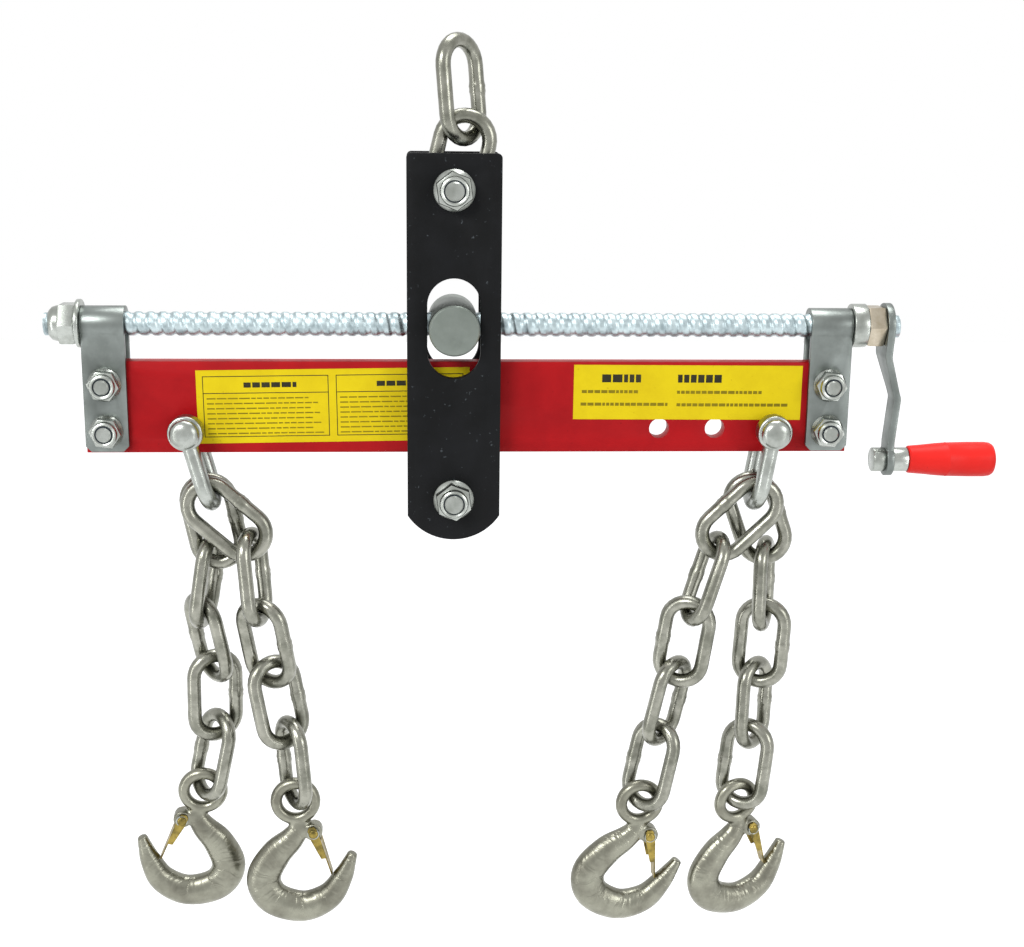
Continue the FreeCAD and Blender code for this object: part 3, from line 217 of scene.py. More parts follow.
def plated_metal(name, bright, dull, roughness, patch_mm, grain_mm, grain_height, metallic=1.0):
    """Plated or bare metal with cloudy patches, changing gloss and a fine grain."""
    material = bpy.data.materials.new(name)
    material.use_nodes = True
    tree = material.node_tree
    shader = tree.nodes["Principled BSDF"]
    shader.inputs["Metallic"].default_value = metallic
    place = add(tree, "ShaderNodeTexCoord").outputs["Object"]
    cloud = add(tree, "ShaderNodeTexNoise", {"Scale": per_mm(patch_mm), "Detail": 5.0, "Roughness": 0.62}, {"Vector": place})
    ramp = add(tree, "ShaderNodeValToRGB", {}, {"Fac": cloud.outputs["Fac"]})
    ramp.color_ramp.elements[0].position, ramp.color_ramp.elements[0].color = 0.34, linear(dull)
    ramp.color_ramp.elements[1].position, ramp.color_ramp.elements[1].color = 0.62, linear(bright)
    tree.links.new(ramp.outputs["Color"], shader.inputs["Base Color"])
    gloss = add(tree, "ShaderNodeMapRange", {"From Min": 0.3, "From Max": 0.7, "To Min": roughness + 0.08,
                                              "To Max": roughness - 0.05}, {"Value": cloud.outputs["Fac"]})
    tree.links.new(gloss.outputs["Result"], shader.inputs["Roughness"])
    grain = add(tree, "ShaderNodeTexNoise", {"Scale": per_mm(grain_mm), "Detail": 3.0}, {"Vector": place})
    bump = add(tree, "ShaderNodeBump", {"Strength": 0.6, "Distance": grain_height * MM}, {"Height": grain.outputs["Fac"]})
    tree.links.new(bump.outputs["Normal"], shader.inputs["Normal"])
    return material


# bright zinc plate: the nuts, pins and shackles look almost white
zinc = plated_metal("bright_zinc", "#a9ada8", "#8c908a", 0.27, 9, 0.9, 0.03)
# plated after welding: warm grey with cloudy patches and long bright lines
chain_zinc = plated_metal("chain_zinc", "#94948a", "#707167", 0.25, 9, 1.1, 0.05)
# rolled strap, plated: an even satin grey
strap_zinc = plated_metal("strap_zinc", "#7f8582", "#676c69", 0.36, 26, 0.8, 0.03)
# turned bar, dull plate: the cross nut is the flattest grey of all
turned_steel = plated_metal("turned_steel", "#7f8680", "#717872", 0.42, 14, 0.6, 0.02)
# rolled thread, blue bright plate: the palest metal on the object
thread_zinc = plated_metal("thread_zinc", "#b9c7ca", "#8c9a9e", 0.42, 6, 0.8, 0.02)
# yellow passivated nut: silver with a warm cast
nut_passivated = plated_metal("nut_passivated", "#b5ac9b", "#978d79", 0.30, 9, 0.9, 0.03)
# yellow passivated strip: brown gold, darker in its folds
latch_passivated = plated_metal("latch_passivated", "#9b8846", "#5e5530", 0.34, 6, 0.8, 0.04)
print("metal finishes:", len(bpy.data.materials))

# %% [markdown]
# The hooks are drop forged and then plated. The forging leaves shallow ripples across the bend, like rings
# round a finger, so their material reads an attribute that runs along the hook from eye to tip.

# %% Forged finish
forged_zinc = plated_metal("forged_zinc", "#8c8c7f", "#706f64", 0.30, 15, 1.2, 0.05)
forged_tree = forged_zinc.node_tree
along = add(forged_tree, "ShaderNodeAttribute", {"attribute_name": "along"})
warp = add(forged_tree, "ShaderNodeTexNoise", {"Scale": per_mm(14), "Detail": 1.0})
forged_tree.links.new(forged_tree.nodes["Texture Coordinate"].outputs["Object"], warp.inputs["Vector"])
shifted = add(forged_tree, "ShaderNodeMath", {"operation": "ADD"})
forged_tree.links.new(along.outputs["Fac"], shifted.inputs[0])
scaled = add(forged_tree, "ShaderNodeMath", {"operation": "MULTIPLY"})
scaled.inputs[1].default_value = 0.012
forged_tree.links.new(warp.outputs["Fac"], scaled.inputs[0])
forged_tree.links.new(scaled.outputs[0], shifted.inputs[1])
ripple = add(forged_tree, "ShaderNodeTexNoise", {"noise_dimensions": "1D", "Scale": per_mm(3.4), "Detail": 2.0})
forged_tree.links.new(shifted.outputs[0], ripple.inputs["W"])
ripple_bump = add(forged_tree, "ShaderNodeBump", {"Strength": 0.8, "Distance": 0.6 * MM})
forged_tree.links.new(ripple.outputs["Fac"], ripple_bump.inputs["Height"])
forged_tree.links.new(forged_tree.nodes["Bump"].outputs["Normal"], ripple_bump.inputs["Normal"])
forged_tree.links.new(ripple_bump.outputs["Normal"], forged_tree.nodes["Principled BSDF"].inputs["Normal"])
print("forged ripple every 3.4 mm")

# %% [markdown]
# Paint and plastic share one build: a colour with faint clouds of dirt and rubbing, an orange-peel surface
# and a clear gloss. The bar is enamelled red, the hanger plates are black, the grip is moulded plastic.

# %% Painted and moulded finishes
def coated(name, colour, worn, roughness, peel_mm, peel_height, speck):
    """Paint or plastic: clouds of wear, pin-point specks of another colour, and an orange-peel skin."""
    material = bpy.data.materials.new(name)
    material.use_nodes = True
    tree = material.node_tree
    shader = tree.nodes["Principled BSDF"]
    shader.inputs["Specular IOR Level"].default_value = 0.12
    place = add(tree, "ShaderNodeTexCoord").outputs["Object"]
    cloud = add(tree, "ShaderNodeTexNoise", {"Scale": per_mm(22), "Detail": 7.0, "Roughness": 0.65}, {"Vector": place})
    ramp = add(tree, "ShaderNodeValToRGB", {}, {"Fac": cloud.outputs["Fac"]})
    ramp.color_ramp.elements[0].position, ramp.color_ramp.elements[0].color = 0.30, linear(worn)
    ramp.color_ramp.elements[1].position, ramp.color_ramp.elements[1].color = 0.58, linear(colour)
    dust = add(tree, "ShaderNodeTexNoise", {"Scale": per_mm(2.4), "Detail": 2.0}, {"Vector": place})
    few = add(tree, "ShaderNodeMapRange", {"From Min": 0.70, "From Max": 0.76}, {"Value": dust.outputs["Fac"]})
    mix = add(tree, "ShaderNodeMix", {"data_type": "RGBA"})
    tree.links.new(few.outputs["Result"], mix.inputs["Factor"])
    tree.links.new(ramp.outputs["Color"], mix.inputs[6])
    mix.inputs[7].default_value = linear(speck)
    tree.links.new(mix.outputs[2], shader.inputs["Base Color"])
    gloss = add(tree, "ShaderNodeMapRange", {"From Min": 0.3, "From Max": 0.7, "To Min": roughness + 0.14,
                                              "To Max": roughness}, {"Value": cloud.outputs["Fac"]})
    tree.links.new(gloss.outputs["Result"], shader.inputs["Roughness"])
    peel = add(tree, "ShaderNodeTexNoise", {"Scale": per_mm(peel_mm), "Detail": 2.0}, {"Vector": place})
    bump = add(tree, "ShaderNodeBump", {"Strength": 0.5, "Distance": peel_height * MM}, {"Height": peel.outputs["Fac"]})
    tree.links.new(bump.outputs["Normal"], shader.inputs["Normal"])
    return material


# sprayed enamel: deep red, with a fine orange-peel skin
red_enamel = coated("red_enamel", "#a81419", "#9a1016", 0.34, 2.2, 0.03, "#8f0f14")
# stoved black paint: almost no colour, dusted with pale specks
black_enamel = coated("black_enamel", "#0c0d0e", "#141517", 0.42, 1.4, 0.04, "#43484b")
# moulded plastic: brighter and a little orange next to the paint
grip_plastic = coated("grip_plastic", "#e22a25", "#d62521", 0.32, 1.8, 0.02, "#c9201c")
# printed foil: flat strong yellow with a thin dark print
label_yellow = coated("label_yellow", "#dcc416", "#d2b813", 0.42, 3.0, 0.01, "#c9ac12")
label_ink = coated("label_ink", "#2c2a1e", "#3a3826", 0.50, 3.0, 0.01, "#4a4730")
fine_ink = coated("fine_ink", "#7f7016", "#8c7c17", 0.50, 3.0, 0.01, "#6b5f14")
# nylon insert of the lock nuts: a dark ring between two bright ones
nylon = coated("nylon", "#3b4248", "#32383d", 0.45, 1.2, 0.02, "#4a5258")
print("finishes in all:", len(bpy.data.materials))

# %% [markdown]
# ## Making pieces
# Every new piece ends the same way: its mesh is cleaned, given smooth faces with sharp creases, a finish, the
# body that it moves with and the CAD nodes that it stands for.

# %% Finish a piece
def finish_piece(name, shape, material, body, replaces=(), crease=35):
    bmesh.ops.recalc_face_normals(shape, faces=shape.faces)
    data = bpy.data.meshes.new(name)
    shape.to_mesh(data)
    shape.free()
    data.polygons.foreach_set("use_smooth", [True] * len(data.polygons))
    data.set_sharp_from_angle(angle=math.radians(crease))
    data.materials.append(material)
    piece = bpy.data.objects.new(name, data)
    bpy.context.scene.collection.objects.link(piece)
    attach(piece, body)
    if replaces:
        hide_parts(*replaces)
    return piece


# %% [markdown]
# Plates, straps and turned pieces already have their shape in CAD. What they lack is the small rounding that
# every real edge has and that catches the light, so a copy is merged, its flat faces are joined, and its sharp
# edges are bevelled.

# %% Copy a CAD node and round its edges
def merged_copy(node):
    shape = bmesh.new()
    shape.from_mesh(nodes[node].data)
    bmesh.ops.remove_doubles(shape, verts=shape.verts, dist=1e-6)
    bmesh.ops.dissolve_limit(shape, angle_limit=math.radians(1), verts=shape.verts, edges=shape.edges)
    return shape


def round_sharp_edges(shape, radius, segments=2, angle=40):
    sharp = [edge for edge in shape.edges if edge.is_manifold and edge.calc_face_angle() > math.radians(angle)]
    bmesh.ops.bevel(shape, geom=sharp, offset=radius, segments=segments, profile=0.5, affect="EDGES",
                    clamp_overlap=True, material=-1)


def dressed(node, material, radius_mm):
    shape = merged_copy(node)
    round_sharp_edges(shape, radius_mm * MM)
    return finish_piece(node + "_shape", shape, material, body_of[node], [node])


dressed("beam", red_enamel, 0.5)
for plate in ("front_plate", "rear_plate"):
    dressed(plate, black_enamel, 0.4)
for strap in ("bracket_left", "bracket_right", "crank_arm"):
    dressed(strap, strap_zinc, 0.35)
dressed("trunnion_nut", turned_steel, 0.3)
for turned in ("top_sleeve", "roller", "end_washer", "screw_collar", "grip_pin"):
    dressed(turned, zinc, 0.5)
print("pieces with rounded edges: 11")

# %% [markdown]
# ## Chain links
# A link is a round bar bent to a loop and welded in the middle of one leg. A circle is spun round one bend,
# pulled down a leg, spun round the other bend and pulled up again. The weld is a few extra rings that swell.
# The CAD link has flats, and its corners say where it lies: their longest spread is the link's length, the
# next its width.

# %% Bend one link
LINK = {"length": 56.5, "width": 32.5, "bar": 8.0}
TOP_LINK = {"length": 58.5, "width": 34.0, "bar": 8.0}
BAR_SIDES = 20
BEND_STEPS = 14
WELD_RINGS = ((-4.0, 1.0), (-2.6, 1.05), (-1.4, 1.11), (0.0, 1.07), (1.4, 1.12), (2.6, 1.05), (4.0, 1.0))


def pull(shape, edges, to_height, swell=1.0, centre=None):
    """Extrude a ring straight to a height and swell it about its own centre."""
    new = bmesh.ops.extrude_edge_only(shape, edges=edges)["geom"]
    verts = [item for item in new if isinstance(item, bmesh.types.BMVert)]
    middle = sum((vert.co for vert in verts), Vector()) / len(verts)
    bmesh.ops.translate(shape, verts=verts, vec=(0, 0, to_height - middle.z))
    if swell != 1.0:
        about = Matrix.Translation((-middle.x, -middle.y, 0))
        bmesh.ops.scale(shape, verts=verts, vec=(swell, swell, 1), space=about)
    return [item for item in new if isinstance(item, bmesh.types.BMEdge)]


def bent_link(plan):
    half = (plan["length"] - plan["width"]) / 2 * MM
    radius = (plan["width"] - plan["bar"]) / 2 * MM
    bar = plan["bar"] / 2 * MM
    shape = bmesh.new()
    start = bmesh.ops.create_circle(shape, segments=BAR_SIDES, radius=bar, cap_ends=False,
                                    matrix=Matrix.Translation((radius, 0, half)))
    edges = list({edge for vert in start["verts"] for edge in vert.link_edges})
    turn = bmesh.ops.spin(shape, geom=edges, cent=(0, 0, half), axis=(0, -1, 0), angle=math.pi,
                          steps=BEND_STEPS, use_duplicate=False)["geom_last"]
    edges = [item for item in turn if isinstance(item, bmesh.types.BMEdge)]
    edges = pull(shape, edges, -half)
    turn = bmesh.ops.spin(shape, geom=edges, cent=(0, 0, -half), axis=(0, -1, 0), angle=math.pi,
                          steps=BEND_STEPS, use_duplicate=False)["geom_last"]
    edges = [item for item in turn if isinstance(item, bmesh.types.BMEdge)]
    swollen = 1.0
    for height, swell in WELD_RINGS:
        edges = pull(shape, edges, height * MM, swell / swollen)
        swollen = swell
    pull(shape, edges, half)
    bmesh.ops.remove_doubles(shape, verts=shape.verts, dist=1e-5)
    return shape


# %% Lay the links where the CAD links are
def lie_of_link(node):
    """Place of a CAD link, from the spread of its corners: length, width and thickness."""
    corners = {tuple(round(v, 6) for v in vert.co) for vert in nodes[node].data.vertices}
    corners = [Vector(corner) for corner in corners]
    centre = sum(corners, Vector()) / len(corners)
    spread = Matrix(((0,) * 3,) * 3)
    for corner in corners:
        offset = corner - centre
        for row in range(3):
            for column in range(3):
                spread[row][column] += offset[row] * offset[column]
    along = strongest_direction(spread)
    rest = Matrix([[spread[r][c] for c in range(3)] for r in range(3)])
    size = (spread @ along).length
    for row in range(3):
        for column in range(3):
            rest[row][column] -= size * along[row] * along[column]
    across = strongest_direction(rest)
    if along.z < 0:
        along = -along
    across = (across - along * across.dot(along)).normalized()
    through = along.cross(across)
    return Matrix.Translation(centre) @ Matrix((across, through, along)).transposed().to_4x4()


def strongest_direction(spread):
    direction = Vector((0.31, 0.52, 0.79))
    for _ in range(200):
        direction = (spread @ direction).normalized()
    return direction


link_nodes = sorted(node for node in nodes if node.startswith("chain_"))
for node in link_nodes + ["lifting_link", "hanger_link"]:
    shape = bent_link(TOP_LINK if node in ("lifting_link", "hanger_link") else LINK)
    shape.transform(lie_of_link(node))
    finish_piece(node + "_bar", shape, chain_zinc, body_of[node], [node], crease=60)
print("links:", len(link_nodes) + 2)

# %% [markdown]
# ## Shackles
# Each shackle is a round bar bent to a U, with its ends forged flat round the pin. The legs hang from the pin,
# so the bend is made about a point below it and the eyes are short turned discs.

# %% Bend the shackles
SHACKLE = {"bar": 9.0, "width": 29.0, "depth": 43.5, "ear": 19.0, "pin": 10.0}
SHACKLE_LEAN = {"left": 15.0, "right": -9.0}


def disc(shape, diameter, start, end, sides=40):
    """Solid disc about the Y axis, with softened rims."""
    turn = Matrix.Rotation(math.radians(90), 4, "X")
    place = Matrix.Translation((0, (start + end) / 2 * MM, 0)) @ turn
    made = bmesh.ops.create_cone(shape, cap_ends=True, segments=sides, radius1=diameter / 2 * MM,
                                 radius2=diameter / 2 * MM, depth=abs(end - start) * MM, matrix=place)
    rims = [edge for edge in {e for v in made["verts"] for e in v.link_edges} if edge.calc_face_angle() > 1]
    bmesh.ops.bevel(shape, geom=rims, offset=1.2 * MM, segments=3, profile=0.5, affect="EDGES",
                    clamp_overlap=True, material=-1)


def shackle_shape():
    half, bend = SHACKLE["width"] / 2 * MM, (SHACKLE["depth"] - SHACKLE["width"] / 2) * MM
    shape = bmesh.new()
    start = bmesh.ops.create_circle(shape, segments=BAR_SIDES, radius=SHACKLE["bar"] / 2 * MM, cap_ends=False,
                                    matrix=Matrix.Translation((0, -half, -4 * MM)))
    edges = list({edge for vert in start["verts"] for edge in vert.link_edges})
    edges = pull(shape, edges, -bend)
    turn = bmesh.ops.spin(shape, geom=edges, cent=(0, 0, -bend), axis=(1, 0, 0), angle=math.pi,
                          steps=BEND_STEPS, use_duplicate=False)["geom_last"]
    edges = [item for item in turn if isinstance(item, bmesh.types.BMEdge)]
    pull(shape, edges, -4 * MM)
    bmesh.ops.holes_fill(shape, edges=[edge for edge in shape.edges if edge.is_boundary])
    for side in (-1, 1):
        middle = side * SHACKLE["width"] / 2
        disc(shape, SHACKLE["ear"], middle - SHACKLE["bar"] / 2, middle + SHACKLE["bar"] / 2)
    return shape


for side, lean in SHACKLE_LEAN.items():
    shape = shackle_shape()
    pin = Vector(joints["shackle_%s_swing" % side]["pos_m"])
    shape.transform(Matrix.Translation(pin) @ Matrix.Rotation(math.radians(-lean), 4, "Y"))
    node = "shackle_" + side
    finish_piece(node + "_bar", shape, zinc, body_of[node], [node], crease=45)
print("shackles: 2")

# %% [markdown]
# ## Hooks
# A forged hook is one lump of steel: a round eye, a neck with a lug for the latch, and a bowl that is thick at
# the back and thin at the tip. A circle is drawn along the stations of the bowl, a ring is spun for the eye,
# and a voxel remesh melts them together as forging does.

# %% Draw the hook along its stations
HOOK_STATIONS = [
    (0.5, -11.0, 13.0, 7.0),
    (0.5, -17.0, 12.5, 9.5),
    (-5.0, -24.0, 15.5, 12.5),
    (-14.7, -32.5, 19.0, 14.5),
    (-23.0, -46.5, 21.0, 15.5),
    (-18.5, -60.0, 21.0, 15.5),
    (-2.0, -66.8, 19.5, 15.5),
    (13.5, -61.8, 17.0, 14.5),
    (22.5, -50.5, 13.0, 12.0),
    (27.0, -42.0, 9.0, 9.5),
    (30.0, -35.5, 6.0, 7.0),
]
ROUND_SHARE = 0.95  # the CAD sections are octagons; a circle of the same area lies inside their corners
EYE_RADIUS, EYE_BAR = 11.0, 7.0
LUG_PLACE, LUG_DIAMETER, LUG_WIDTH = Vector((8.8, 0, -19.3)), 10.5, 8.0
BOWL_CENTRE = Vector((0, 0, -44.0)) * MM


def finer_stations(steps=6):
    """The stations with more of them in between, on a smooth curve through them all."""
    rows = [Vector(row) for row in HOOK_STATIONS]
    rows = [rows[0] * 2 - rows[1]] + rows + [rows[-1] * 2 - rows[-2]]
    finer = []
    for a, b, c, d in zip(rows, rows[1:], rows[2:], rows[3:]):
        for step in range(steps):
            t = step / steps
            bend = (a * 2 - b * 5 + c * 4 - d) * t ** 2 + (b * 3 - a - c * 3 + d) * t ** 3
            finer.append((b * 2 + (c - a) * t + bend) * 0.5)
    return finer + [rows[-2]]


def station_places():
    """For each station, the matrix that puts a unit circle across the hook there."""
    stations = finer_stations()
    centres = [Vector((x, 0, z)) for x, z, width, depth in stations]
    places = []
    for index, (x, z, width, depth) in enumerate(stations):
        along = (centres[min(index + 1, len(centres) - 1)] - centres[max(index - 1, 0)]).normalized()
        side = Vector((0, 1, 0)).cross(along)
        across, through = side * width / 2 * ROUND_SHARE, Vector((0, 1, 0)) * depth / 2 * ROUND_SHARE
        turn = Matrix((across, through, along)).transposed().to_4x4()
        places.append(Matrix.Scale(MM, 4) @ Matrix.Translation(centres[index]) @ turn)
    return places


def hook_blank():
    shape = bmesh.new()
    places = station_places()
    ring = bmesh.ops.create_circle(shape, segments=32, radius=1, cap_ends=True, matrix=places[0])["verts"]
    edges = list({edge for vert in ring for edge in vert.link_edges})
    for before, after in zip(places, places[1:]):
        new = bmesh.ops.extrude_edge_only(shape, edges=edges)["geom"]
        verts = [item for item in new if isinstance(item, bmesh.types.BMVert)]
        edges = [item for item in new if isinstance(item, bmesh.types.BMEdge)]
        bmesh.ops.transform(shape, verts=verts, matrix=after @ before.inverted())
    bmesh.ops.holes_fill(shape, edges=[edge for edge in shape.edges if edge.is_boundary])
    eye = bmesh.ops.create_circle(shape, segments=24, radius=EYE_BAR / 2 * MM, cap_ends=False,
                                  matrix=Matrix.Translation((EYE_RADIUS * MM, 0, 0)))
    edges = list({edge for vert in eye["verts"] for edge in vert.link_edges})
    bmesh.ops.spin(shape, geom=edges, cent=(0, 0, 0), axis=(0, 1, 0), angle=math.tau, steps=48, use_merge=True,
                   use_duplicate=False)
    turn = Matrix.Translation(LUG_PLACE * MM) @ Matrix.Rotation(math.radians(90), 4, "X")
    bmesh.ops.create_cone(shape, cap_ends=True, segments=32, radius1=LUG_DIAMETER / 2 * MM,
                          radius2=LUG_DIAMETER / 2 * MM, depth=LUG_WIDTH * MM, matrix=turn)
    bmesh.ops.recalc_face_normals(shape, faces=shape.faces)
    return shape


# %% Melt the forging together and mark how far along the bend each point lies
def applied(piece):
    """The piece's mesh with its modifiers applied."""
    graph = bpy.context.evaluated_depsgraph_get()
    return bpy.data.meshes.new_from_object(piece.evaluated_get(graph), depsgraph=graph)


blank = bpy.data.meshes.new("hook_blank")
shape = hook_blank()
shape.to_mesh(blank)
shape.free()
forging = bpy.data.objects.new("hook_forging", blank)
bpy.context.scene.collection.objects.link(forging)
melt = forging.modifiers.new("melt", "REMESH")
melt.mode = "VOXEL"
melt.voxel_size = 0.8 * MM
smooth = forging.modifiers.new("smooth", "SMOOTH")
smooth.factor, smooth.iterations = 0.5, 6
bpy.context.view_layer.update()
forged_mesh = applied(forging)
bpy.data.objects.remove(forging)
line = [Vector((x, 0, z)) * MM for x, z, width, depth in HOOK_STATIONS]
reach = [0.0]
for first, second in zip(line, line[1:]):
    reach.append(reach[-1] + (second - first).length)


def along_hook(point):
    """Length along the stations to the point nearest the given one."""
    best = (1.0, 0.0)
    for index, (first, second) in enumerate(zip(line, line[1:])):
        run = second - first
        share = max(0.0, min(1.0, (point - first).dot(run) / run.length_squared))
        best = min(best, ((point - first - run * share).length, reach[index] + share * run.length))
    return best[1]


along_values = [along_hook(vert.co) for vert in forged_mesh.vertices]
print("hook corners:", len(forged_mesh.vertices))

# %% Hang the hooks
def lie_of_hook(letter):
    """A hook's place, from where the record says its bowl is and how its latch turns."""
    mount = mounts["hook_" + letter]
    up_axis = -Vector(mount["axis"]).normalized()
    through = Vector(joints["latch_%s_open" % letter]["axis"]).normalized()
    across = through.cross(up_axis)
    turn = Matrix((across, through, up_axis)).transposed()
    return Matrix.Translation(Vector(mount["pos_m"]) - turn @ BOWL_CENTRE) @ turn.to_4x4()


for letter in "abcd":
    node = "hook_" + letter
    shape = bmesh.new()
    shape.from_mesh(forged_mesh)
    layer = shape.verts.layers.float.new("along")
    for vert, distance in zip(shape.verts, along_values):
        vert[layer] = distance
    shape.transform(lie_of_hook(letter))
    finish_piece(node + "_forging", shape, forged_zinc, body_of[node], [node], crease=75)
print("hooks: 4")

# %% [markdown]
# ## Latches
# A latch is a strip folded into a channel, riveted through the hook's lug and pushed shut by a small coil
# spring. Its CAD shape is kept, with rounded folds, and gets rivet heads and the spring.

# %% Fold the latches and wind their springs
def rivet_head(shape, place, outward, radius, height):
    """Low dome on a cheek."""
    turn = Vector((0, 0, 1)).rotation_difference(outward).to_matrix().to_4x4()
    squash = Matrix.Diagonal((radius, radius, height, 1))
    bmesh.ops.create_uvsphere(shape, u_segments=20, v_segments=10, radius=1,
                              matrix=Matrix.Translation(place) @ turn @ squash)


def spring_coil(shape, middle, axis, radius, wire, turns, width):
    """Wire wound about the rivet."""
    side = axis.orthogonal().normalized()
    turn = Matrix((side, axis, side.cross(axis))).transposed().to_4x4()
    start = middle - axis * width / 2
    ring = bmesh.ops.create_circle(shape, segments=8, radius=wire / 2, cap_ends=False,
                                   matrix=Matrix.Translation(start + side * radius) @ turn.to_3x3().to_4x4()
                                   @ Matrix.Rotation(0, 4, "X"))
    edges = list({edge for vert in ring["verts"] for edge in vert.link_edges})
    steps = 16 * turns
    bmesh.ops.spin(shape, geom=edges, cent=start, axis=axis, dvec=axis * (width / steps),
                   angle=math.tau * turns, steps=steps, use_duplicate=False)


LATCH_SLIM = 0.66
for letter in "abcd":
    node = "latch_" + letter
    shape = merged_copy(node)
    axis = Vector(joints["latch_%s_open" % letter]["axis"]).normalized()
    rivet = Vector(joints["latch_%s_open" % letter]["pos_m"])
    reaches = [vert.co - rivet - axis * (vert.co - rivet).dot(axis) for vert in shape.verts]
    across = axis.cross(max(reaches, key=lambda reach: reach.length)).normalized()
    shape.transform(Matrix.Translation(rivet) @ Matrix.Scale(LATCH_SLIM, 4, across) @ Matrix.Translation(-rivet))
    round_sharp_edges(shape, 0.2 * MM, 1)
    for side in (-1, 1):
        rivet_head(shape, rivet + axis * side * 5.5 * MM, axis * side, 2.6 * MM, 0.9 * MM)
    finish_piece(node + "_strip", shape, latch_passivated, body_of[node], [node])
    coil = bmesh.new()
    for side in (-1, 1):
        spring_coil(coil, rivet + axis * side * 4.9 * MM, axis, 3.1 * MM, 0.8 * MM, 2, 1.0 * MM)
    finish_piece(node + "_spring", coil, zinc, body_of[node])
print("latches: 4")

# %% [markdown]
# ## Lead screw
# The thread is coarse, 6.5 mm a turn, and rolled, so its crests are round. The outline of one turn is spun
# about the screw with a small step along it each time, and the ends are cut flat.

# %% Roll the thread
PITCH_MM = 6.5
THREAD = ((0.0, 5.7), (1.3, 5.7), (2.0, 6.1), (2.6, 6.45), (3.1, 6.5), (4.7, 6.5), (5.2, 6.45), (5.8, 6.1), (6.5, 5.7))
THREAD_STEPS = 32
screw_low, screw_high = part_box("lead_screw")
screw_axis = Vector(joints["screw_turn"]["pos_m"])


def threaded_rod(start, end, outline, pitch):
    """Thread about the screw axis from one X to another."""
    turns = math.ceil((end - start) / pitch) + 2
    shape = bmesh.new()
    corners = [shape.verts.new((start - pitch + x * MM, 0, radius * MM)) for x, radius in outline]
    edges = [shape.edges.new(pair) for pair in zip(corners, corners[1:])]
    bmesh.ops.spin(shape, geom=edges, cent=(0, 0, 0), axis=(1, 0, 0), angle=math.tau * turns,
                   dvec=(pitch / THREAD_STEPS, 0, 0), steps=THREAD_STEPS * turns, use_duplicate=False)
    bmesh.ops.remove_doubles(shape, verts=shape.verts, dist=1e-5)
    for cut, way in ((start, -1), (end, 1)):
        whole = shape.verts[:] + shape.edges[:] + shape.faces[:]
        cut_edges = bmesh.ops.bisect_plane(shape, geom=whole, plane_co=(cut, 0, 0), plane_no=(way, 0, 0),
                                           clear_outer=True)["geom_cut"]
        rim = [item for item in cut_edges if isinstance(item, bmesh.types.BMEdge)]
        bmesh.ops.holes_fill(shape, edges=rim)
    bmesh.ops.translate(shape, verts=shape.verts, vec=(0, screw_axis.y, screw_axis.z))
    return shape


screw = threaded_rod(screw_low.x, screw_high.x, THREAD, PITCH_MM * MM)
finish_piece("lead_screw_thread", screw, thread_zinc, "screw", ["lead_screw"], crease=50)
print("turns of thread:", round((screw_high.x - screw_low.x) / MM / PITCH_MM))

# %% [markdown]
# ## Nuts and bolts
# The bracket and hanger bolts end in lock nuts: a hexagon, a round crown that holds a nylon ring, and the
# bolt's end standing out of it. A hexagon's corners are turned off, so its top edge is bevelled.

# %% Lock nuts on the front
def hexagon_nut(shape, middle, axis, flats, height, start_angle=0.0, chamfer=0.9):
    turn = Vector((0, 0, 1)).rotation_difference(axis).to_matrix().to_4x4()
    spin = Matrix.Rotation(start_angle, 4, "Z")
    place = Matrix.Translation(middle + axis * height / 2) @ turn @ spin
    corner = flats / math.sqrt(3)
    made = bmesh.ops.create_cone(shape, cap_ends=True, segments=6, radius1=corner, radius2=corner,
                                 depth=height, matrix=place)
    rims = [edge for edge in {e for v in made["verts"] for e in v.link_edges}
            if abs((edge.verts[0].co - edge.verts[1].co).normalized().dot(axis)) < 0.5]
    bmesh.ops.bevel(shape, geom=rims, offset=chamfer * MM, segments=2, profile=0.5, affect="EDGES",
                    clamp_overlap=True, material=-1)


def turned_stack(shape, middle, axis, outline, sides=32):
    """Turned piece from pairs of distance and radius along an axis, closed at both ends."""
    side = axis.orthogonal().normalized()
    corners = [shape.verts.new(middle + axis * distance * MM + side * radius * MM) for distance, radius in outline]
    edges = [shape.edges.new(pair) for pair in zip(corners, corners[1:])]
    bmesh.ops.spin(shape, geom=edges, cent=middle, axis=axis, angle=math.tau, steps=sides, use_merge=True,
                   use_duplicate=False)


def split_centres(node):
    """Centres of the separate solids of a node, from the islands of its merged mesh."""
    shape = merged_copy(node)
    left = set(shape.verts)
    centres = []
    while left:
        island, todo = set(), [next(iter(left))]
        while todo:
            vert = todo.pop()
            if vert not in island:
                island.add(vert)
                todo += [edge.other_vert(vert) for edge in vert.link_edges]
        left -= island
        lows = [min(vert.co[axis] for vert in island) for axis in range(3)]
        highs = [max(vert.co[axis] for vert in island) for axis in range(3)]
        centres.append((Vector(lows), Vector(highs)))
    shape.free()
    return centres


FRONT, BACK = Vector((0, -1, 0)), Vector((0, 1, 0))


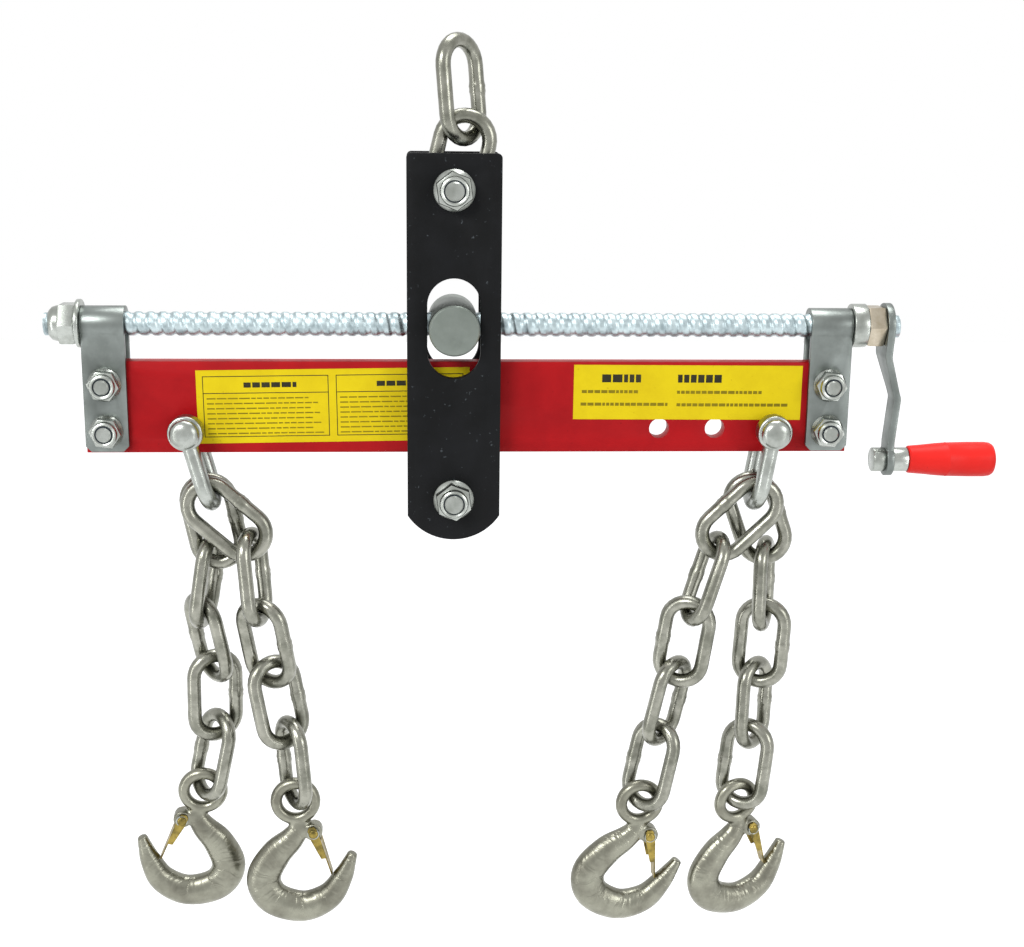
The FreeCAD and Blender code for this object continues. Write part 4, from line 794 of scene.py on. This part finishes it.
def lock_nuts(node, flats, flange, crown, inside, angle):
    """Flanged hexagon with a turned crown that grips a nylon ring, for each solid of a node."""
    for number, (low, high) in enumerate(split_centres(node)):
        middle = Vector(((low.x + high.x) / 2, high.y, (low.z + high.z) / 2))
        height = (high.y - low.y) / MM
        shape = bmesh.new()
        turned_stack(shape, middle, FRONT, ((0, 0), (0, flange), (0.8, flange), (1.4, flange - 0.5),
                                            (2.8, flats / 2 - 0.2), (2.8, 0)), 40)
        hexagon_nut(shape, middle + FRONT * 1.4 * MM, FRONT, flats * MM, (height * 0.8 - 1.4) * MM, angle, 1.3)
        turned_stack(shape, middle, FRONT, ((height * 0.7, inside), (height * 0.7, crown), (height, crown),
                                            (height + 1.0, crown - 0.5), (height + 1.4, crown - 1.3),
                                            (height + 1.1, inside), (height * 0.7, inside)), 40)
        finish_piece("%s_lock_%d" % (node, number), shape, zinc, body_of[node], [node])
        ring = bmesh.new()
        turned_stack(ring, middle, FRONT, ((height * 0.7, 0), (height * 0.7, inside + 0.3),
                                           (height + 0.5, inside + 0.3), (height + 0.5, 0)), 40)
        finish_piece("%s_ring_%d" % (node, number), ring, nylon, body_of[node])


lock_nuts("bracket_nuts", 15.4, 9.0, 6.9, 4.9, math.radians(24))
lock_nuts("plate_nuts", 18.0, 11.0, 7.8, 5.8, math.radians(8))
print("lock nuts: 6")

# %% [markdown]
# Their bolts come from behind. A turned outline gives the shank and its smaller threaded end, and a bevelled
# hexagon the head.

# %% Bolts with their heads behind
def through_bolts(node, flats, head, shank, thread):
    """Bolt for each solid of a node: its head behind, its threaded end just out of the nut."""
    shape = bmesh.new()
    for low, high in split_centres(node):
        under_head = Vector(((low.x + high.x) / 2, high.y - head * MM, (low.z + high.z) / 2))
        length = (under_head.y - low.y) / MM
        hexagon_nut(shape, under_head, BACK, flats * MM, head * MM, 0.0, 1.0)
        turned_stack(shape, under_head, FRONT, ((0, 0), (0, shank), (length - 12, shank), (length - 12, thread),
                                                (length - 1.4, thread), (length - 0.7, thread - 0.7),
                                                (length - 0.7, 0)))
    finish_piece(node + "_turned", shape, zinc, body_of[node], [node])


through_bolts("bracket_bolts", 16.0, 6.4, 5.0, 4.0)
through_bolts("top_bolt", 19.0, 7.5, 6.0, 5.0)
through_bolts("bottom_bolt", 19.0, 7.5, 6.0, 5.0)
print("bolts: 6")

# %% [markdown]
# The nut at the left end of the lead screw is a lock nut too, seen from its side. The one at the crank is plain.

# %% Nuts on the screw
RIGHT = Vector((1, 0, 0))
for node, finish, slot in (("end_nut", zinc, "zinc"), ("crank_nut", nut_passivated, "nut_yellow_zinc")):
    low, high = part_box(node)
    crown = 3.6 * MM if node == "end_nut" else 0.0
    foot = Vector((low.x + crown, screw_axis.y, screw_axis.z))
    shape = bmesh.new()
    hexagon_nut(shape, foot, RIGHT, 21 * MM, high.x - foot.x, 0.0, 1.4)
    if crown:
        turned_stack(shape, foot, -RIGHT, ((-2.0, 0), (-2.0, 9.6), (1.5, 9.5), (3.6, 8.8), (5.0, 7.4), (5.4, 6.4),
                                           (5.4, 0)))
    finish_piece(node + "_hexagon", shape, finish, body_of[node], [node])

# %% [markdown]
# The shackle pins have domed heads in front, and are riveted over behind so that they can't fall out.

# %% Domed pins
PIN_OUTLINE = (
    (0.0, 0.0), (0.0, 3.5), (0.6, 5.2), (1.6, 5.9), (2.8, 6.0), (3.8, 5.0), (42.0, 5.0), (42.0, 7.5), (42.6, 8.0),
    (44.2, 7.9), (45.7, 6.9), (46.8, 5.0), (47.3, 2.8), (47.5, 0.0),
)
for side in ("left", "right"):
    node = "shackle_pin_" + side
    low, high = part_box(node)
    shape = bmesh.new()
    turned_stack(shape, Vector(((low.x + high.x) / 2, high.y, (low.z + high.z) / 2)), FRONT, PIN_OUTLINE, 40)
    finish_piece(node + "_domed", shape, zinc, body_of[node], [node])
print("pins: 2")

# %% [markdown]
# ## Grip
# The grip is moulded in two halves round its pin: slim at the neck, fuller towards its end, well rounded, with
# a fine parting ridge. Its outline is spun about its own axis.

# %% Mould the grip
grip_low, grip_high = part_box("grip")
grip_axis = Vector(joints["grip_turn"]["pos_m"])
GRIP_OUTLINE = (
    (0.0, 4.4), (0.0, 7.0), (0.7, 7.7), (8.0, 8.3), (16.0, 9.1), (21.6, 9.5), (21.8, 9.62), (22.2, 9.62),
    (22.4, 9.52), (34.0, 9.8), (44.0, 9.8), (46.8, 9.4), (48.3, 8.4), (49.0, 6.8), (49.0, 0.0),
)
shape = bmesh.new()
turned_stack(shape, Vector((grip_low.x, grip_axis.y, grip_axis.z)), Vector((1, 0, 0)), GRIP_OUTLINE, 48)
finish_piece("grip_moulding", shape, grip_plastic, "grip", ["grip"], crease=40)
print("grip length:", round((grip_high.x - grip_low.x) / MM, 1), "mm")

# %% [markdown]
# ## Labels
# Two yellow foil labels sit on the front of the bar. They stay generic: plain yellow with thin printed frames.
# A label is a flat sheet, cut from a grid and given its thickness, and its print is a second, thinner layer.

# %% Cut the labels
BAR_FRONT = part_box("beam")[0].y
PRINT_DEPTH, PRINT_THICKNESS = 0.16, 0.03


def corner_of_label(x, z, tilt):
    """Frame of a label: its lower left corner on the bar's front, turned by its tilt in degrees."""
    turn = Matrix.Rotation(math.radians(-tilt), 4, "Y")
    return Matrix.Translation((x * MM, BAR_FRONT, z * MM)) @ turn @ Matrix.Scale(MM, 4)


def sheet(shape, corner, left, right, low, high, depth=PRINT_DEPTH, thickness=PRINT_THICKNESS):
    """Flat sheet in a label's own millimetres, standing out from the bar by its depth."""
    place = Matrix.Translation(((left + right) / 2, -depth, (low + high) / 2))
    stretch = Matrix.Diagonal(((right - left) / 2, 1, (high - low) / 2, 1))
    grid = bmesh.ops.create_grid(shape, x_segments=1, y_segments=1, size=1,
                                 matrix=corner @ place @ stretch @ Matrix.Rotation(math.radians(90), 4, "X"))
    faces = list({face for vert in grid["verts"] for face in vert.link_faces})
    bmesh.ops.solidify(shape, geom=faces, thickness=thickness * MM)


# lower left corner, tilt, width and height of each label
LABELS = {"left": (-140.2, -209.6, 0.8, 147.4, 40.2), "right": (63.5, -196.2, -0.2, 126.2, 30.2)}
corners = {}
for name, (x, z, tilt, width, height) in LABELS.items():
    corners[name] = corner_of_label(x, z, tilt)
    shape = bmesh.new()
    sheet(shape, corners[name], 0, width, 0, height, 0.12, 0.1)
    finish_piece("label_" + name, shape, label_yellow, "bar")
print("labels:", len(corners))

# %% [markdown]
# The print is only frames and bars, which stand in for lines of small type: short bars of changing length with
# gaps between them, row under row.

# %% Print the labels
def bars(shape, corner, left, right, low, height, shortest, gap):
    """One row of short bars with gaps, filling a width."""
    at, count = left, int(low * 7 + left)
    while at < right - 1:
        end = min(right, at + shortest + count * 37 % 11 * 0.14 * shortest)
        sheet(shape, corner, at, end, low, low + height)
        at, count = end + gap, count + 3


PANELS = ((3.4, 71.0), (75.0, 144.0))
PANEL_LOW, PANEL_HIGH, HEADER, LINE = 3.4, 36.9, 9.6, 0.42
ink, fine = bmesh.new(), bmesh.new()
for left, right in PANELS:
    for box in ((left, right, PANEL_HIGH - LINE, PANEL_HIGH), (left, right, PANEL_LOW, PANEL_LOW + LINE),
                (left, left + LINE, PANEL_LOW, PANEL_HIGH), (right - LINE, right, PANEL_LOW, PANEL_HIGH),
                (left, right, PANEL_HIGH - HEADER, PANEL_HIGH - HEADER + LINE)):
        sheet(ink, corners["left"], *box)
    bars(ink, corners["left"], left + 22, right - 16, PANEL_HIGH - 6.4, 2.8, 2.1, 0.8)
    for row in range(8):
        bars(fine, corners["left"], left + 2, right - 3 - row * 5 % 9, PANEL_LOW + 1.6 + row * 2.75, 0.7, 2.4, 0.7)
for left, right in ((15.5, 38.5), (57.3, 82.3)):
    bars(ink, corners["right"], left, right, 20.6, 4.4, 2.2, 0.9)
for left, right, low in ((4.5, 36.6, 14.6), (4.0, 52.0, 7.6), (57.0, 104.0, 14.4), (57.0, 119.0, 7.4)):
    bars(fine, corners["right"], left, right, low, 1.7, 1.5, 0.6)
finish_piece("label_print", ink, label_ink, "bar")
finish_piece("label_fine_print", fine, fine_ink, "bar")
print("rows of print:", 2 * 8 + 4)
